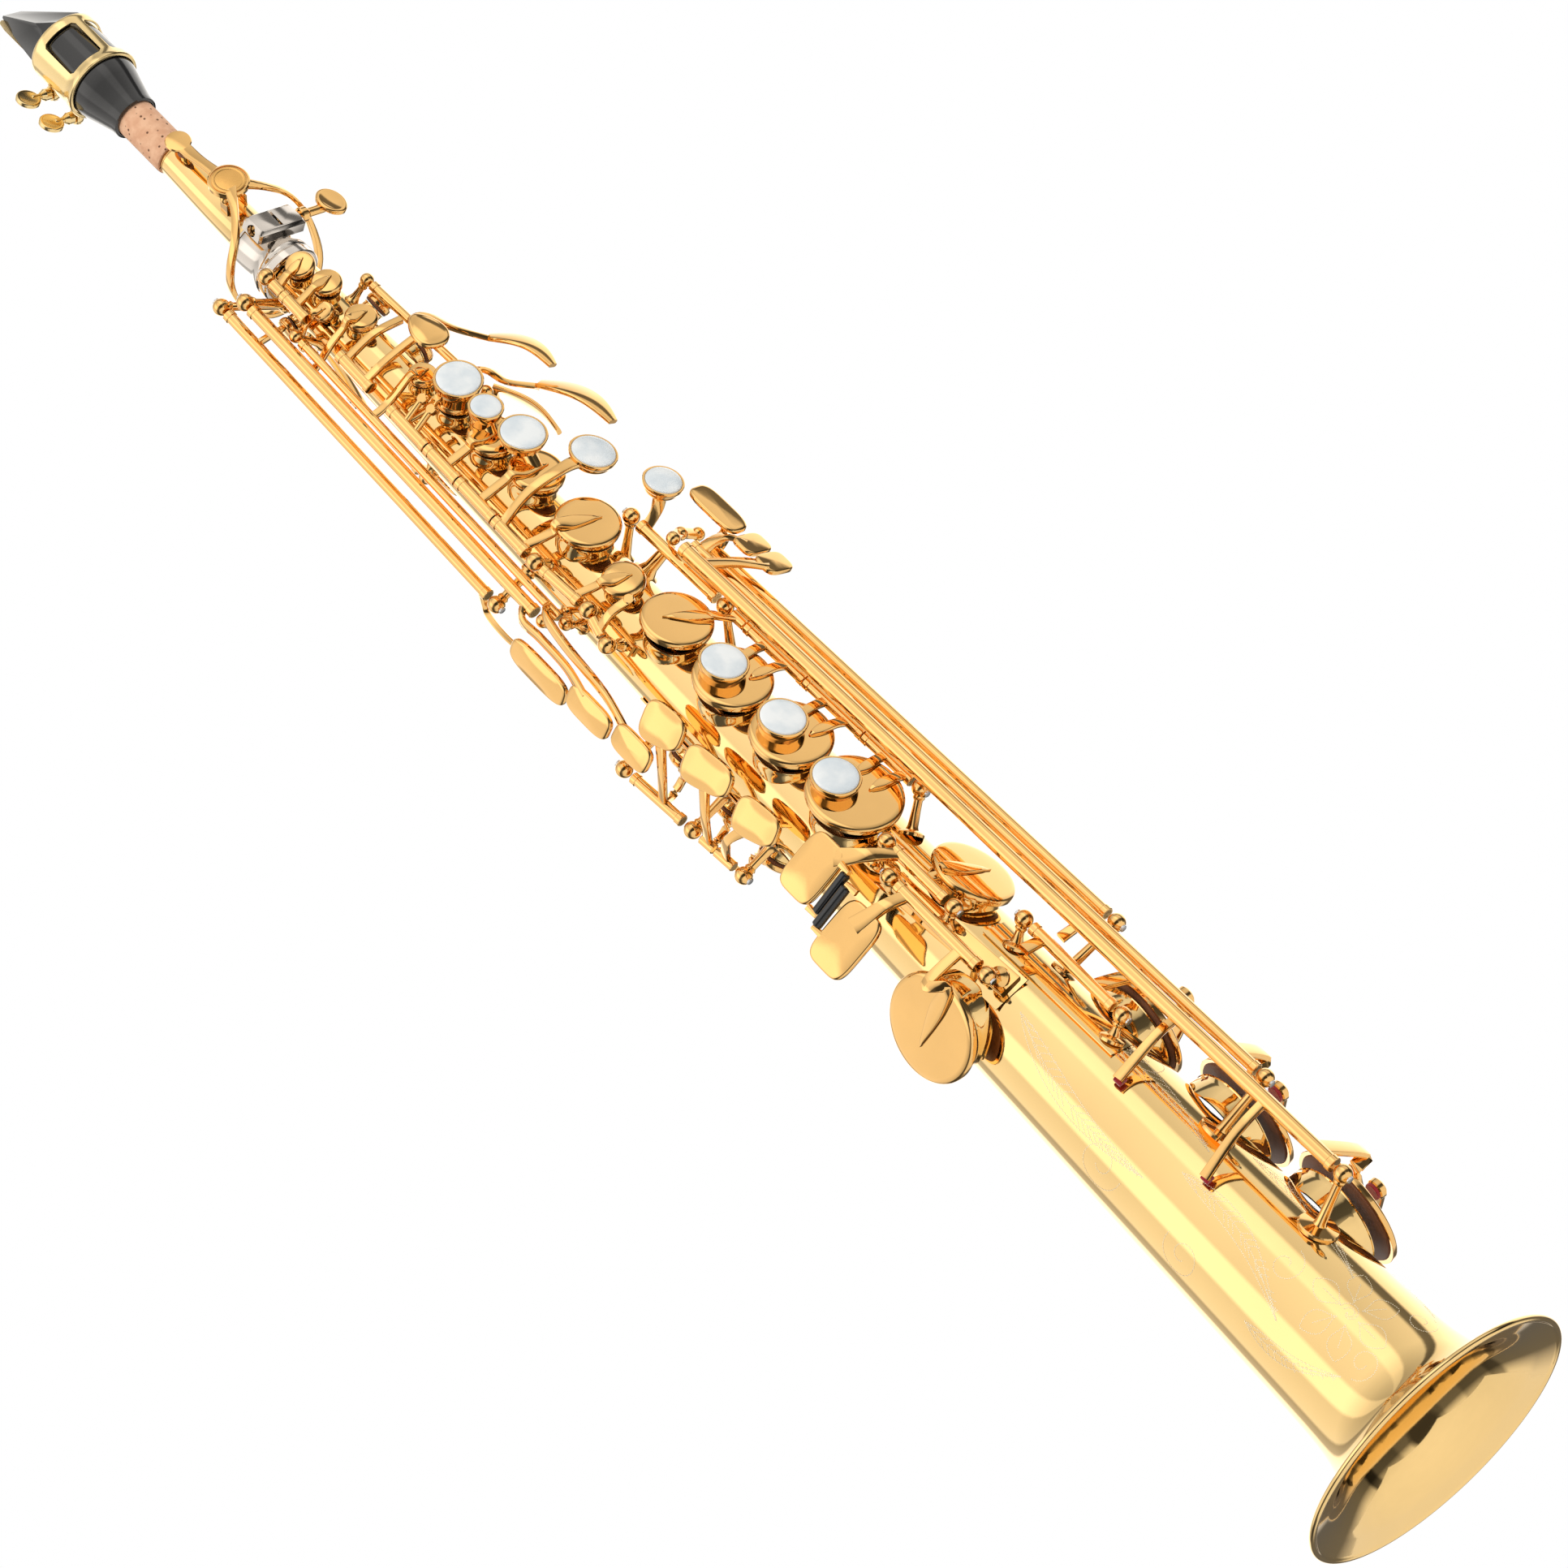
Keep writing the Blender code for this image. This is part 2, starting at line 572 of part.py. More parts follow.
def make_neck():
    """Receiver with its clamp, neck tube, cork and neck screw."""
    socket = turned([(7.35, BODY_TOP + CLEARANCE), (10.6, BODY_TOP + CLEARANCE), (10.8, 549.0),
                     (9.6, 552.0), (9.3, RECEIVER_TOP), (7.35, RECEIVER_TOP),
                     (7.35, BODY_TOP + CLEARANCE)], 16)
    front = 18.0
    clamp = box(place(557.0, front, 8.6), outward(front), (19.0, 10.0, 5.4))
    side = outward(front + 90.0)
    screw_centre = place(557.0, front, 11.6)
    drill = cylinder(screw_centre - side * 20, screw_centre + side * 20, 2.0, 10)
    body = combined([union([socket, clamp])], [drill], "DIFFERENCE")
    node("neck_receiver", body, "nickel_silver")

    paddle = screw_centre + side * 20.5
    screw = [cylinder(screw_centre - side * 8.0, paddle, 1.6, 8),
             cylinder(screw_centre + side * 10.2, screw_centre + side * 13.0, 2.6, 8),
             slab(oval(9.5, 12.0, 10), facing(paddle - Vector((0, 0.9, 0)) + side * 3.0,
                                              Vector((0.3, -1, 0))), 1.8)]
    node("neck_screw", union(screw), "key_lacquer", screw_centre)

    outer = [(6.95, 546.0), (6.95, RECEIVER_TOP + CLEARANCE), (8.3, RECEIVER_TOP + CLEARANCE),
             (8.3, 565.5), (7.3, 567.0), (5.9, CORK_BOTTOM - 0.8), (5.5, CORK_BOTTOM - 0.8),
             (5.5, NECK_TOP)]
    inner = [(4.4, NECK_TOP), (6.1, 546.0)]
    neck = turned(outer + inner + outer[:1], 14)
    pip = place(600.0, -2.0, 4.9)
    solids = [neck, cylinder(pip, place(600.0, -2.0, 8.4), 1.5, 8)]
    for sign in (-1, 1):
        low = place(574.0, 0.0, 5.4) + Vector((sign * 3.4, 0, 0))
        solids.append(box(low, outward(0.0), (1.2, 4.0, 5.4)))
    drill = cylinder(place(600.0, -2.0, 2.0), place(600.0, -2.0, 9.0), 0.7, 6)
    node("neck_tube", combined([union(solids)], [drill], "DIFFERENCE"), "body_lacquer")

    cork = [(5.85, CORK_BOTTOM), (6.7, CORK_BOTTOM), (6.8, CORK_BOTTOM + 1), (6.8, NECK_TOP - 1),
            (6.6, NECK_TOP), (5.85, NECK_TOP), (5.85, CORK_BOTTOM)]
    node("neck_cork", turned(cork, 14), "cork")


def make_neck_octave_key():
    """Octave key on the neck: pad spoon, round plate and the loop around the receiver."""
    pivot = place(574.0, 0.0, 12.2)
    spoon = [place(605.0, 0.0, 10.3), place(598.0, 0.0, 10.4), place(590.0, 0.0, 12.6),
             place(577.0, 2.0, 15.2)]
    left = [place(577.0, 2.0, 15.2), place(566.0, -18.0, 17.0), place(557.5, -38.0, 18.3),
            place(553.5, -64.0, 18.2), place(551.8, -90.0, 17.8), place(550.5, -122.0, 17.6),
            place(547.0, -155.0, 18.2), place(546.5, 180.0, 18.6)]
    right = [place(577.0, 2.0, 15.2), place(569.0, 34.0, 16.8), place(565.0, 62.0, 18.0),
             place(559.0, 92.0, 18.6), place(551.0, 122.0, 19.0), place(546.8, 155.0, 19.2),
             place(546.5, 182.0, 19.2)]
    plate = moved(turned([(0, 0), (6.6, 0), (6.8, 1.4), (6.0, 2.0), (0, 2.0)], 16),
                  facing(place(577.0, 2.0, 14.4), outward(2.0)))
    pad = cylinder(place(600.0, -2.0, 8.8), place(600.0, -2.0, 11.0), 2.4, 10)
    tip = cylinder(place(604.0, 0.0, 9.6), place(604.0, 0.0, 11.2), 4.3, 16)
    hinge = cylinder(pivot - Vector((2.3, 0, 0)), pivot + Vector((2.3, 0, 0)), 1.6, 8)
    stem = box(pivot, outward(0.0), (3.4, 3.4, 3.2))
    solids = [plate, bar(spoon, [5.4, 5.0, 3.6, 5.0], 1.5), bar(left, [4.0] + [2.6] * 7, 1.8),
              bar(right, [4.0] + [2.6] * 6, 1.8), pad, tip, hinge, stem]
    node("neck_octave_key", union(solids), "key_lacquer", pivot)


def in_mouthpiece_frame(solid):
    """Turn a solid about the bore by the way the mouthpiece is turned on its cork."""
    return moved(solid, Matrix.Rotation(radians(MOUTHPIECE_TURN), 4, "Z"))


def make_mouthpiece():
    """Mouthpiece with its beak, bore, window, reed and ligature; the reed lies at the back."""
    table = 8.4
    outer = [(0, MOUTHPIECE_BOTTOM), (8.1, MOUTHPIECE_BOTTOM), (8.3, 630.0), (9.8, 636.5),
             (11.7, 643.5), (12.0, 646.5), (11.4, 669.5), (8.6, MOUTHPIECE_TOP), (0, MOUTHPIECE_TOP)]
    body = turned(outer, 18)
    bore = turned([(0, 620.0), (7.15, 620.0), (7.15, 647.0), (5.2, 650.0), (5.0, 668.0), (0, 668.0)], 16)
    back = box(Vector((0, table, 672.0)), Vector((0, 1, 0)), (30, 48.0, 20))
    top = MOUTHPIECE_TOP + 2.5
    slope = Vector((0, -11.8, 667.0)) - Vector((0, table - 1.6, MOUTHPIECE_TOP))
    normal = Vector((0, -1, 0)) - slope.normalized() * slope.normalized().dot(Vector((0, -1, 0)))
    beak = box(Vector((0, table - 1.6, MOUTHPIECE_TOP)) + slope * 0.5, normal.normalized(),
               (40, 60, 30), -slope.normalized())
    window = box(Vector((0, 2.0, 673.0)), Vector((0, 1, 0)), (9.0, 30.0, 10.0))
    channel = cylinder(Vector((0, 1.5, 660.0)), Vector((0, 6.0, 686.0)), 3.6, 8, 1.2)
    cutters = [bore, back, beak, window, channel]
    sides = [box(Vector((sign * 6.6, 0, top - 14)), Vector((sign * 1.0, 0, 0.24)), (30, 40, 10))
             for sign in (-1, 1)]
    piece = combined([body], cutters + sides, "DIFFERENCE")
    node("mouthpiece", in_mouthpiece_frame(piece), "ebonite")

    reed_face = table + CLEARANCE
    rows = ((649.0, 5.6, 2.2), (668.0, 6.0, 1.9), (682.0, 6.2, 1.1), (694.5, 6.3, 0.35))
    rings = []
    for height, half, thick in rows:
        rings.append([Vector((-half, reed_face, height)), Vector((half, reed_face, height)),
                      Vector((half * 0.72, reed_face + thick, height)),
                      Vector((-half * 0.72, reed_face + thick, height))])
    cane = lofted(rings)
    node("reed", in_mouthpiece_frame(cane), "cane")

    make_ligature()


LIGATURE_SCREWS = (650.6, 663.6)
LUG_REACH = 15.4


def make_ligature():
    """Windowed band around the reed with two thumb screws across the back."""
    low, high = 645.8, 668.6
    band = turned([(12.3, low), (13.0, low), (12.75, high), (12.05, high), (12.3, low)], 20)
    cutters = []
    for angle in (-38.0, 38.0):
        cutters.append(box(place(657.2, angle, 5.0), outward(angle), (13.0, 15.4, 12.0)))
    gap = box(Vector((0, 5.0, 657.0)), Vector((0, 1, 0)), (4.4, 30.0, 12.0))
    windowed = combined([band], cutters + [gap], "DIFFERENCE")
    lugs = []
    for height in LIGATURE_SCREWS:
        for sign in (-1, 1):
            lug = Vector((sign * 3.6, 11.9, height))
            lugs.append(box(lug, Vector((0, 1, 0)), (2.2, 4.6, 5.6)))
    drills = [cylinder(Vector((-9, LUG_REACH, height)), Vector((9, LUG_REACH, height)), 1.35, 8)
              for height in LIGATURE_SCREWS]
    ligature = combined([union([windowed] + lugs)], drills, "DIFFERENCE")
    node("ligature", in_mouthpiece_frame(ligature), "key_lacquer")
    for name, height in zip(("ligature_screw_lower", "ligature_screw_upper"), LIGATURE_SCREWS):
        centre = Vector((0, LUG_REACH, height))
        solids = [cylinder(centre + Vector((5.5, 0, 0)), centre - Vector((14.5, 0, 0)), 1.0, 8),
                  cylinder(centre - Vector((5.2, 0, 0)), centre - Vector((8.0, 0, 0)), 2.0, 8),
                  slab(oval(8.5, 8.5, 10), facing(centre + Vector((-14.0, 0.8, 0)),
                                                  Vector((0, -1, 0))), 1.6)]
        pivot = Matrix.Rotation(radians(MOUTHPIECE_TURN), 3, "Z") @ centre
        node(name, in_mouthpiece_frame(union(solids)), "key_lacquer", pivot)


# --- keywork ---

def small_cup_key(name, rod, span, arm_height):
    """Small vent key: one cup on one arm, standing open."""
    hole = HOLES[name]
    solids = [tube(rod, *span), cup(hole), cup_arm(rod, arm_height, hole, 0.6, 2.6)]
    add_key(name + "_key", rod, solids, hole, VENT_LIFT)


def make_left_stack():
    """Keys on the left hand's rod, from the small vents down to G."""
    small_cup_key("high_vent", LEFT_STACK, (535.6, 530.0), 533.0)
    small_cup_key("b_vent", LEFT_STACK, (529.6, 517.0), 523.5)
    front = place(481.5, 20.0, 25.5)
    teardrop = slab(oval(11.5, 15.5, 10), facing(front, outward(16.0)), 1.8, 1.0)
    root = on_rod(LEFT_STACK, 485.5)
    link = on_rod(LEFT_STACK, 496.0)
    solids = [tube(LEFT_STACK, 499.0, 482.0), teardrop,
              bar([root, place(483.5, -20.0, 21.5), place(482.0, 10.0, 24.6), front], [2.6] * 4, 2.0),
              bar([link, place(495.6, -8.0, 18.6), place(495.0, 25.0, 19.0)], [2.6] * 3, 1.8)]
    add_key("front_f_key", LEFT_STACK, solids, (front, outward(16.0)), 2.6)
    stack = (
        ("b_key", (471.5, 452.5), "b", (461.1, 12.8, 24.4, 11.0), (465.0,), PEARL_RADIUS, 8.6, 0.6),
        ("bis_key", (452.0, 436.0), "bis", (447.0, 12.5, 24.6, 14.0), (443.0,), 5.0, 7.0, 0.6),
        ("a_key", (435.5, 417.0), "a", (431.5, 17.5, 25.6, 14.0), (425.5,), PEARL_RADIUS, 4.4, 3.0),
    )
    for name, span, hole, button, arms, radius, depth, rise in stack:
        under = place(button[0], button[1], button[2] - 3.4)
        bridge = [cylinder(cup_top(HOLES[hole]) - outward(14.0), under, 2.4)]
        pearl_key(name, LEFT_STACK, span, HOLES[hole], button, arms, 1.8, radius, depth, rise, bridge)
    g_top = place(414.0, 48.0, 29.0)
    g_root = on_rod(LEFT_STACK, 413.5)
    g_arm = bar([g_root, place(413.8, -10.0, 22.4), place(413.8, 28.0, 24.6), g_top - outward(30.0) * 3.5],
                [3.0, 3.0, 4.0, 4.0], 2.0)
    solids = [tube(LEFT_STACK, 416.5, 400.5), cup(HOLES["g"]), cup_arm(LEFT_STACK, 403.0, HOLES["g"], 1.4),
              g_arm, holder(g_top, 24.0, 4.0)]
    add_key("g_key", LEFT_STACK, solids, HOLES["g"], 2.2, True,
            [("g_pearl", pearl(g_top, 24.0), "pearl")])


def make_links():
    """G sharp cup, its pearl lever and the lower stack's linking lever."""
    hole = HOLES["g_sharp"]
    solids = [tube(LINK_UPPER, 392.2, 375.2), cup(hole, 10), cup_arm(LINK_UPPER, 378.0, hole, 0.8)]
    add_key("g_sharp_key", LINK_UPPER, solids, hole, 1.8, False)

    top = place(391.0, 55.0, 38.4)
    root = on_rod(G_SHARP, 384.0)
    solids = [tube(G_SHARP, 386.2, 348.6), holder(top, 26.0, 4.0, 6.0),
              bar([root, place(387.0, 55.0, 30.0), top - outward(26.0) * 3.4], [3.6, 3.6, 5.0], 2.2)]
    add_key("g_sharp_lever", G_SHARP, solids, (top, outward(40.0)), 2.6, True,
            [("g_sharp_pearl", pearl(top, 26.0, 6.0), "pearl")])

    tip = place(361.8, -14.0, 23.4)
    solids = [tube(LINK_LOWER, 367.8, 361.2),
              bar([on_rod(LINK_LOWER, 363.4), place(362.4, -30.0, 24.9), tip], [2.8, 2.8, 3.4], 1.7)]
    add_key("stack_link_lever", LINK_LOWER, solids, (tip, outward(-14.0)), 1.2)


def make_right_stack():
    """F sharp, F, E and D cups on the right hand's rod."""
    f_sharp = HOLES["f_sharp"]
    solids = [tube(RIGHT_STACK, 340.6, 334.5), cup(f_sharp, 14), cup_arm(RIGHT_STACK, 338.0, f_sharp, 1.0)]
    add_key("f_sharp_key", RIGHT_STACK, solids, f_sharp, 2.4)
    stack = (
        ("f_key", (334.0, 307.0), "f", (323.0, -4.0, 26.6, 4.0), (325.0, 315.0)),
        ("e_key", (306.5, 280.0), "e", (295.4, -3.0, 27.4, 3.0), (297.0, 287.0)),
        ("d_key", (279.5, 257.8), "d", (268.6, -6.0, 28.0, 2.0), (270.0, 260.5)),
    )
    for name, span, hole_name, button, arms in stack:
        hole = HOLES[hole_name]
        depth = button[2] - seat(hole) - PAD_GAP - CUP_THICKNESS + 1.2
        pearl_key(name, RIGHT_STACK, span, hole, button, arms, 2.6, PEARL_RADIUS, depth)


def touch_plate(height, angle, reach, width, length, tilt=None, thick=1.8, power=0.55, spin=0.0):
    """Finger plate with round corners, facing out at the tilt angle."""
    face_angle = angle if tilt is None else tilt
    matrix = facing(place(height, angle, reach) - outward(face_angle) * thick, outward(face_angle))
    matrix = matrix @ Matrix.Rotation(radians(spin), 4, "Z")
    return slab(oval(width, length, 12, power), matrix, thick, 0.8)


def make_side_keys():
    """Right-hand side keys: long rods to their upper cups, and the three trill touches."""
    e_hole = HOLES["high_e"]
    solids = [tube(SIDE_E, 545.6, 408.6), cup(e_hole, 10),
              bar([on_rod(SIDE_E, 530.5), place(529.6, -96.0, 19.0), place(529.0, -95.2, 14.0)],
                  [2.6, 2.6, 2.0], 1.6, Vector((0, 0, 1))),
              bar([on_rod(SIDE_E, 412.0), place(408.0, -120.0, 30.0), place(396.0, -118.0, 31.0),
                   place(380.0, -106.0, 30.6)], [3, 3, 3, 4], 2.0),
              touch_plate(376.0, -104.0, 32.4, 9.6, 27.0, -70.0)]
    add_key("high_e_key", SIDE_E, solids, e_hole, 1.4, False)

    c_hole = HOLES["side_c"]
    solids = [tube(SIDE_C, 536.2, 388.4), cup(c_hole, 12),
              bar([on_rod(SIDE_C, 509.0), place(509.0, -91.0, 16.6)], [2.6, 2.6], 1.6),
              bar([place(508.8, -93.0, 17.4), place(508.6, -76.0, 14.2), place(508.0, -52.0, 13.6),
                   place(507.4, -24.0, 15.0), cup_grip(c_hole)], [2.4, 2.4, 2.4, 2.4, 2.0], 1.7),
              bar([on_rod(SIDE_C, 393.5), place(389.5, -88.0, 26.4), place(380.0, -86.0, 26.8),
                   place(366.0, -86.0, 27.4), place(355.0, -90.0, 29.2)], [3, 3, 3, 3, 4], 2.0),
              touch_plate(351.0, -93.0, 31.4, 9.6, 20.0, -64.0)]
    add_key("side_c_key", SIDE_C, solids, c_hole, 1.8, False)

    b_hole = HOLES["side_b_flat"]
    solids = [tube(SIDE_B_FLAT, 515.4, 380.6), cup(b_hole, 12),
              bar([on_rod(SIDE_B_FLAT, 478.0), place(477.6, -58.0, 15.2), place(477.0, -28.0, 15.2),
                   cup_grip(b_hole)], [2.6, 2.6, 2.6, 2.0], 1.6),
              bar([on_rod(SIDE_B_FLAT, 386.0), place(382.0, -70.0, 24.6), place(370.0, -74.0, 25.8),
                   place(350.0, -82.0, 25.4), place(333.0, -86.0, 29.2)], [3, 3, 3, 3, 4], 2.0),
              touch_plate(330.5, -87.0, 31.0, 9.6, 17.0, -60.0)]
    add_key("side_b_flat_key", SIDE_B_FLAT, solids, b_hole, 1.8, False)

    trills = (("high_f_sharp", 325.0, 316.0, (329.4, 307.0), 13.0, 17.0),
              ("fork_f_sharp", 303.5, 295.4, (298.4, 292.5), 12.0, 20.0),
              ("high_g", 280.0, 287.5, (291.8, 283.8), 12.0, 18.0))
    for name, height, arm, span, width, length in trills:
        hole = HOLES[name]
        solids = [tube(TRILL, *span), cup(hole, 12),
                  bar([on_rod(TRILL, arm), place((arm + hole.height) / 2, -134.0, 30.0), cup_grip(hole)],
                      [2.8, 2.8, 2.4], 1.8),
                  bar([on_rod(TRILL, arm), place(arm * 0.8 + height * 0.2, -88.0, 28.5),
                       place(height, -66.0, 26.0)], [3.0, 3.0, 4.0], 1.8),
                  touch_plate(height, -62.0, 26.4, width, length, -52.0, spin=12.0)]
        add_key(name + "_key", TRILL, solids, hole, 1.8, False)


def make_palm_keys():
    """Palm keys for high D, E flat and F with their spatulas."""
    f_hole = HOLES["palm_f"]
    solids = [tube(PALM, 516.6, 492.0), cup(f_hole, 12),
              bar([on_rod(PALM, 503.0), place(507.0, 60.0, 17.8), cup_grip(f_hole)], [2.6, 2.6, 2.0], 1.6),
              bar([on_rod(PALM, 497.0), place(493.0, 43.0, 23.5), place(484.0, 49.0, 26.0),
                   place(474.0, 58.0, 31.0)], [3.4, 3.6, 4.0, 5.0], 2.0),
              spatula((475.0, 31.0), (451.0, 39.0), 60.0, 7.4)]
    add_key("palm_f_key", PALM, solids, f_hole, 1.6, False)

    e_hole = HOLES["palm_e_flat"]
    solids = [tube(PALM, 491.4, 463.4), cup(e_hole, 12),
              bar([on_rod(PALM, 487.0), place(490.0, 66.0, 18.6), cup_grip(e_hole)], [2.6, 2.6, 2.0], 1.6),
              bar([on_rod(PALM, 470.0), place(464.0, 47.0, 24.4), place(457.0, 52.0, 25.8),
                   place(449.0, 57.0, 31.0)], [4.0, 5.0, 5.0, 6.0], 2.0),
              spatula((450.0, 32.0), (421.5, 39.8), 60.0, 8.8)]
    add_key("palm_e_flat_key", PALM, solids, e_hole, 1.6, False)

    d_hole = HOLES["palm_d"]
    solids = [tube(PALM_LOW, 486.2, 458.8), cup(d_hole, 12),
              bar([on_rod(PALM_LOW, 470.5), place(471.4, 114.0, 18.2), cup_grip(d_hole)],
                  [2.6, 2.6, 2.0], 1.6),
              bar([on_rod(PALM_LOW, 481.5), place(480.0, 132.0, 22.0), place(476.0, 122.0, 26.5),
                   place(472.0, 112.0, 30.0)], [3.4, 4.0, 4.0, 6.0], 2.0),
              spatula((474.0, 29.0), (448.0, 35.5), 108.0, 8.0)]
    add_key("palm_d_key", PALM_LOW, solids, d_hole, 1.6, False)


def spatula(root, tip, angle, width):
    """Curved leaf for the palm, bowed outwards between its root and its tip."""
    points = []
    widths = []
    for step in range(7):
        share = step / 6
        bow = 3.4 * sin(pi * share)
        points.append(place(root[0] + (tip[0] - root[0]) * share, angle,
                            root[1] + (tip[1] - root[1]) * share + bow))
        widths.append(1.6 + (width - 1.6) * sin(pi * (0.12 + 0.8 * share)))
    return bar(points, widths, 1.5, outward(angle - PALM_TWIST))


def make_pinky_table():
    """Left little-finger levers on long rods, with the low B flat and B cups."""
    b_flat = HOLES["low_b_flat"]
    stop_reach = body_radius(96.0) + CHIMNEY_HEIGHT + 3.6
    solids = [tube(B_FLAT, 366.5, 71.8), cup(b_flat, 16), bell_arm(on_rod(B_FLAT, 80.0), b_flat),
              bar([on_rod(B_FLAT, 101.0), place(99.5, 12.0, 36.0), place(97.0, -14.0, stop_reach)],
                  [3.0, 3.0, 3.4], 1.8),
              bar([on_rod(B_FLAT, 358.0), place(352.0, 50.0, 37.0), place(346.0, 58.0, 41.5)],
                  [4.0, 4.5, 6.0], 2.0),
              touch_plate(346.5, 61.0, 43.6, 12.0, 9.0, 34.0)]
    add_key("low_b_flat_key", B_FLAT, solids, b_flat, 3.4)

    low_b = HOLES["low_b"]
    stop_reach = body_radius(138.0) + CHIMNEY_HEIGHT + 3.6
    solids = [tube(B_LOW, 368.8, 111.4), cup(low_b, 16), bell_arm(on_rod(B_LOW, 121.0), low_b),
              bar([on_rod(B_LOW, 143.0), place(142.0, 36.0, 36.0), place(141.0, 24.0, 33.0),
                   place(138.5, -8.0, stop_reach)], [3.0, 3.0, 3.0, 3.4], 1.8),
              bar([on_rod(B_LOW, 366.0), place(364.0, 58.0, 39.0), place(358.0, 62.0, 42.0)],
                  [4.0, 4.5, 6.0], 2.0),
              touch_plate(356.5, 61.5, 43.6, 12.0, 9.0, 34.0)]
    add_key("low_b_key", B_LOW, solids, low_b, 3.4)

    table = place(373.0, 62.0, 45.0)
    solids = [tube(C_SHARP_LEVER, 367.6, 183.0),
              bar([on_rod(C_SHARP_LEVER, 365.5), place(368.0, 68.0, 38.5), place(371.0, 66.0, 43.2)],
                  [4.0, 4.5, 6.0], 2.0),
              touch_plate(373.0, 62.0, 45.0, 9.0, 22.0, 34.0),
              bar([on_rod(C_SHARP_LEVER, 187.0), place(187.5, 46.0, 34.5), place(188.0, 34.5, 29.8)],
                  [3.0, 3.0, 3.4], 2.0)]
    add_key("low_c_sharp_lever", C_SHARP_LEVER, solids, (table, outward(50.0)), 3.0)


def bell_arm(shoulder, hole):
    """Broad arm from a long rod round to the middle of a bell key cup."""
    end = cup_grip(hole)
    bend = place(hole.height + 2.0, 58.0, 42.0)
    return bar([shoulder, bend, end, end + outward(180.0) * hole.cup * 0.35], [5.0, 4.6, 4.0, 1.6], 1.9)


def make_low_keys():
    """E flat and low C with their plates and rollers, and the low C sharp cup."""
    e_flat = HOLES["e_flat"]
    solids = [tube(E_FLAT, 239.8, 216.4), cup(e_flat, 14), cup_arm(E_FLAT, 226.0, e_flat, 1.2),
              bar([on_rod(E_FLAT, 237.6), place(241.6, -22.0, 31.2), place(248.6, -36.0, 32.2)],
                  [4.0, 4.0, 6.0], 2.0),
              touch_plate(251.9, -48.0, 33.4, 21.0, 14.6, -38.0, power=0.45)]
    roller = place(241.6, -50.0, 33.4)
    add_key("e_flat_key", E_FLAT, solids, e_flat, 2.6, False,
            [("e_flat_roller", roller_solid(roller, -44.0), "ebonite")])

    low_c = HOLES["low_c"]
    solids = [tube(LOW_C, 229.6, 192.4), cup(low_c, 16),
              bar([on_rod(LOW_C, 200.0), place(198.0, -48.0, 33.6), cup_grip(low_c),
                   cup_grip(low_c) + Vector((0, 6.0, -1.5))], [3.6, 3.6, 3.4, 1.6], 1.9),
              bar([on_rod(LOW_C, 225.0), place(226.0, -37.0, 31.4), place(228.4, -55.0, 33.0)],
                  [4.0, 4.0, 6.0], 2.0),
              touch_plate(228.0, -63.0, 34.4, 23.0, 15.6, -46.0, power=0.45)]
    roller = place(238.0, -56.0, 33.6)
    add_key("low_c_key", LOW_C, solids, low_c, 3.2, True,
            [("low_c_roller", roller_solid(roller, -50.0), "ebonite")])

    c_sharp = HOLES["low_c_sharp"]
    solids = [tube(C_SHARP, 194.0, 157.8), cup(c_sharp, 16),
              bar([on_rod(C_SHARP, 167.0), place(163.5, 47.0, 33.2), cup_grip(c_sharp),
                   cup_grip(c_sharp) + Vector((0, 6.0, 0))], [4.4, 4.0, 3.4, 1.6], 2.1),
              bar([on_rod(C_SHARP, 188.6), place(188.6, 8.0, 26.8)], [3.4, 4.0], 1.8)]
    add_key("low_c_sharp_key", C_SHARP, solids, c_sharp, 3.0, False)


def roller_solid(centre, angle):
    """Little cylinder lying across the key plates."""
    side = outward(angle + 90.0)
    return cylinder(centre - side * 7.5, centre + side * 7.5, 1.7, 10)


def make_octave_keys():
    """Thumb octave key at the back and the small octave vent on the body."""
    vent = HOLES["octave_vent"]
    solids = [tube(OCTAVE, 524.0, 500.0), cup(vent, 10),
              bar([on_rod(OCTAVE, 521.5), place(521.6, -118.0, 12.6), place(521.6, -90.0, 12.2),
                   place(521.0, -62.0, 12.4), place(519.0, -40.0, 14.0), cup_grip(vent)], [2.0] * 6, 1.4)]
    add_key("octave_vent_key", OCTAVE, solids, vent, 0.9, False)

    thumb = place(462.0, 172.0, 19.0)
    solids = [tube(OCTAVE, 499.4, 465.2),
              bar([on_rod(OCTAVE, 468.0), place(466.0, -172.0, 19.6), thumb], [4.0, 5.0, 6.0], 1.8),
              touch_plate(460.0, 172.0, 20.4, 11.0, 15.0, 178.0),
              bar([on_rod(OCTAVE, 496.0), place(500.0, -166.0, 18.6), place(520.0, -176.0, 16.6),
                   place(541.0, -180.0, 15.4)], [3.0, 3.0, 2.6, 2.6], 1.8)]
    add_key("octave_thumb_key", OCTAVE, solids, (thumb, outward(176.0)), 2.4)


def clear_scene():
    """Remove every object of the open scene."""
    for old in list(bpy.data.objects):
        bpy.data.objects.remove(old)


def main():
    """Model every piece of the saxophone."""
    clear_scene()
    make_body()
    make_ribs()
    make_fittings()
    make_neck()
    make_neck_octave_key()
    make_mouthpiece()
    make_left_stack()
    make_links()
    make_right_stack()
    make_side_keys()
    make_palm_keys()
    make_pinky_table()
    make_low_keys()
    make_octave_keys()


main()
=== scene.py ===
"""Soprano saxophone, finished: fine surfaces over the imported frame, studio light and camera.

A place is (height, angle, reach): millimetres above the bell rim, degrees from the front (-Y)
towards +X, and millimetres from the bore's axis.  Keys are shaped closed on their tone holes and
then turned about their rods to the angle at which they rest.
"""
from collections import namedtuple
from math import atan2, cos, degrees, exp, pi, radians, sin

import bmesh
import bpy
from mathutils import Matrix, Vector


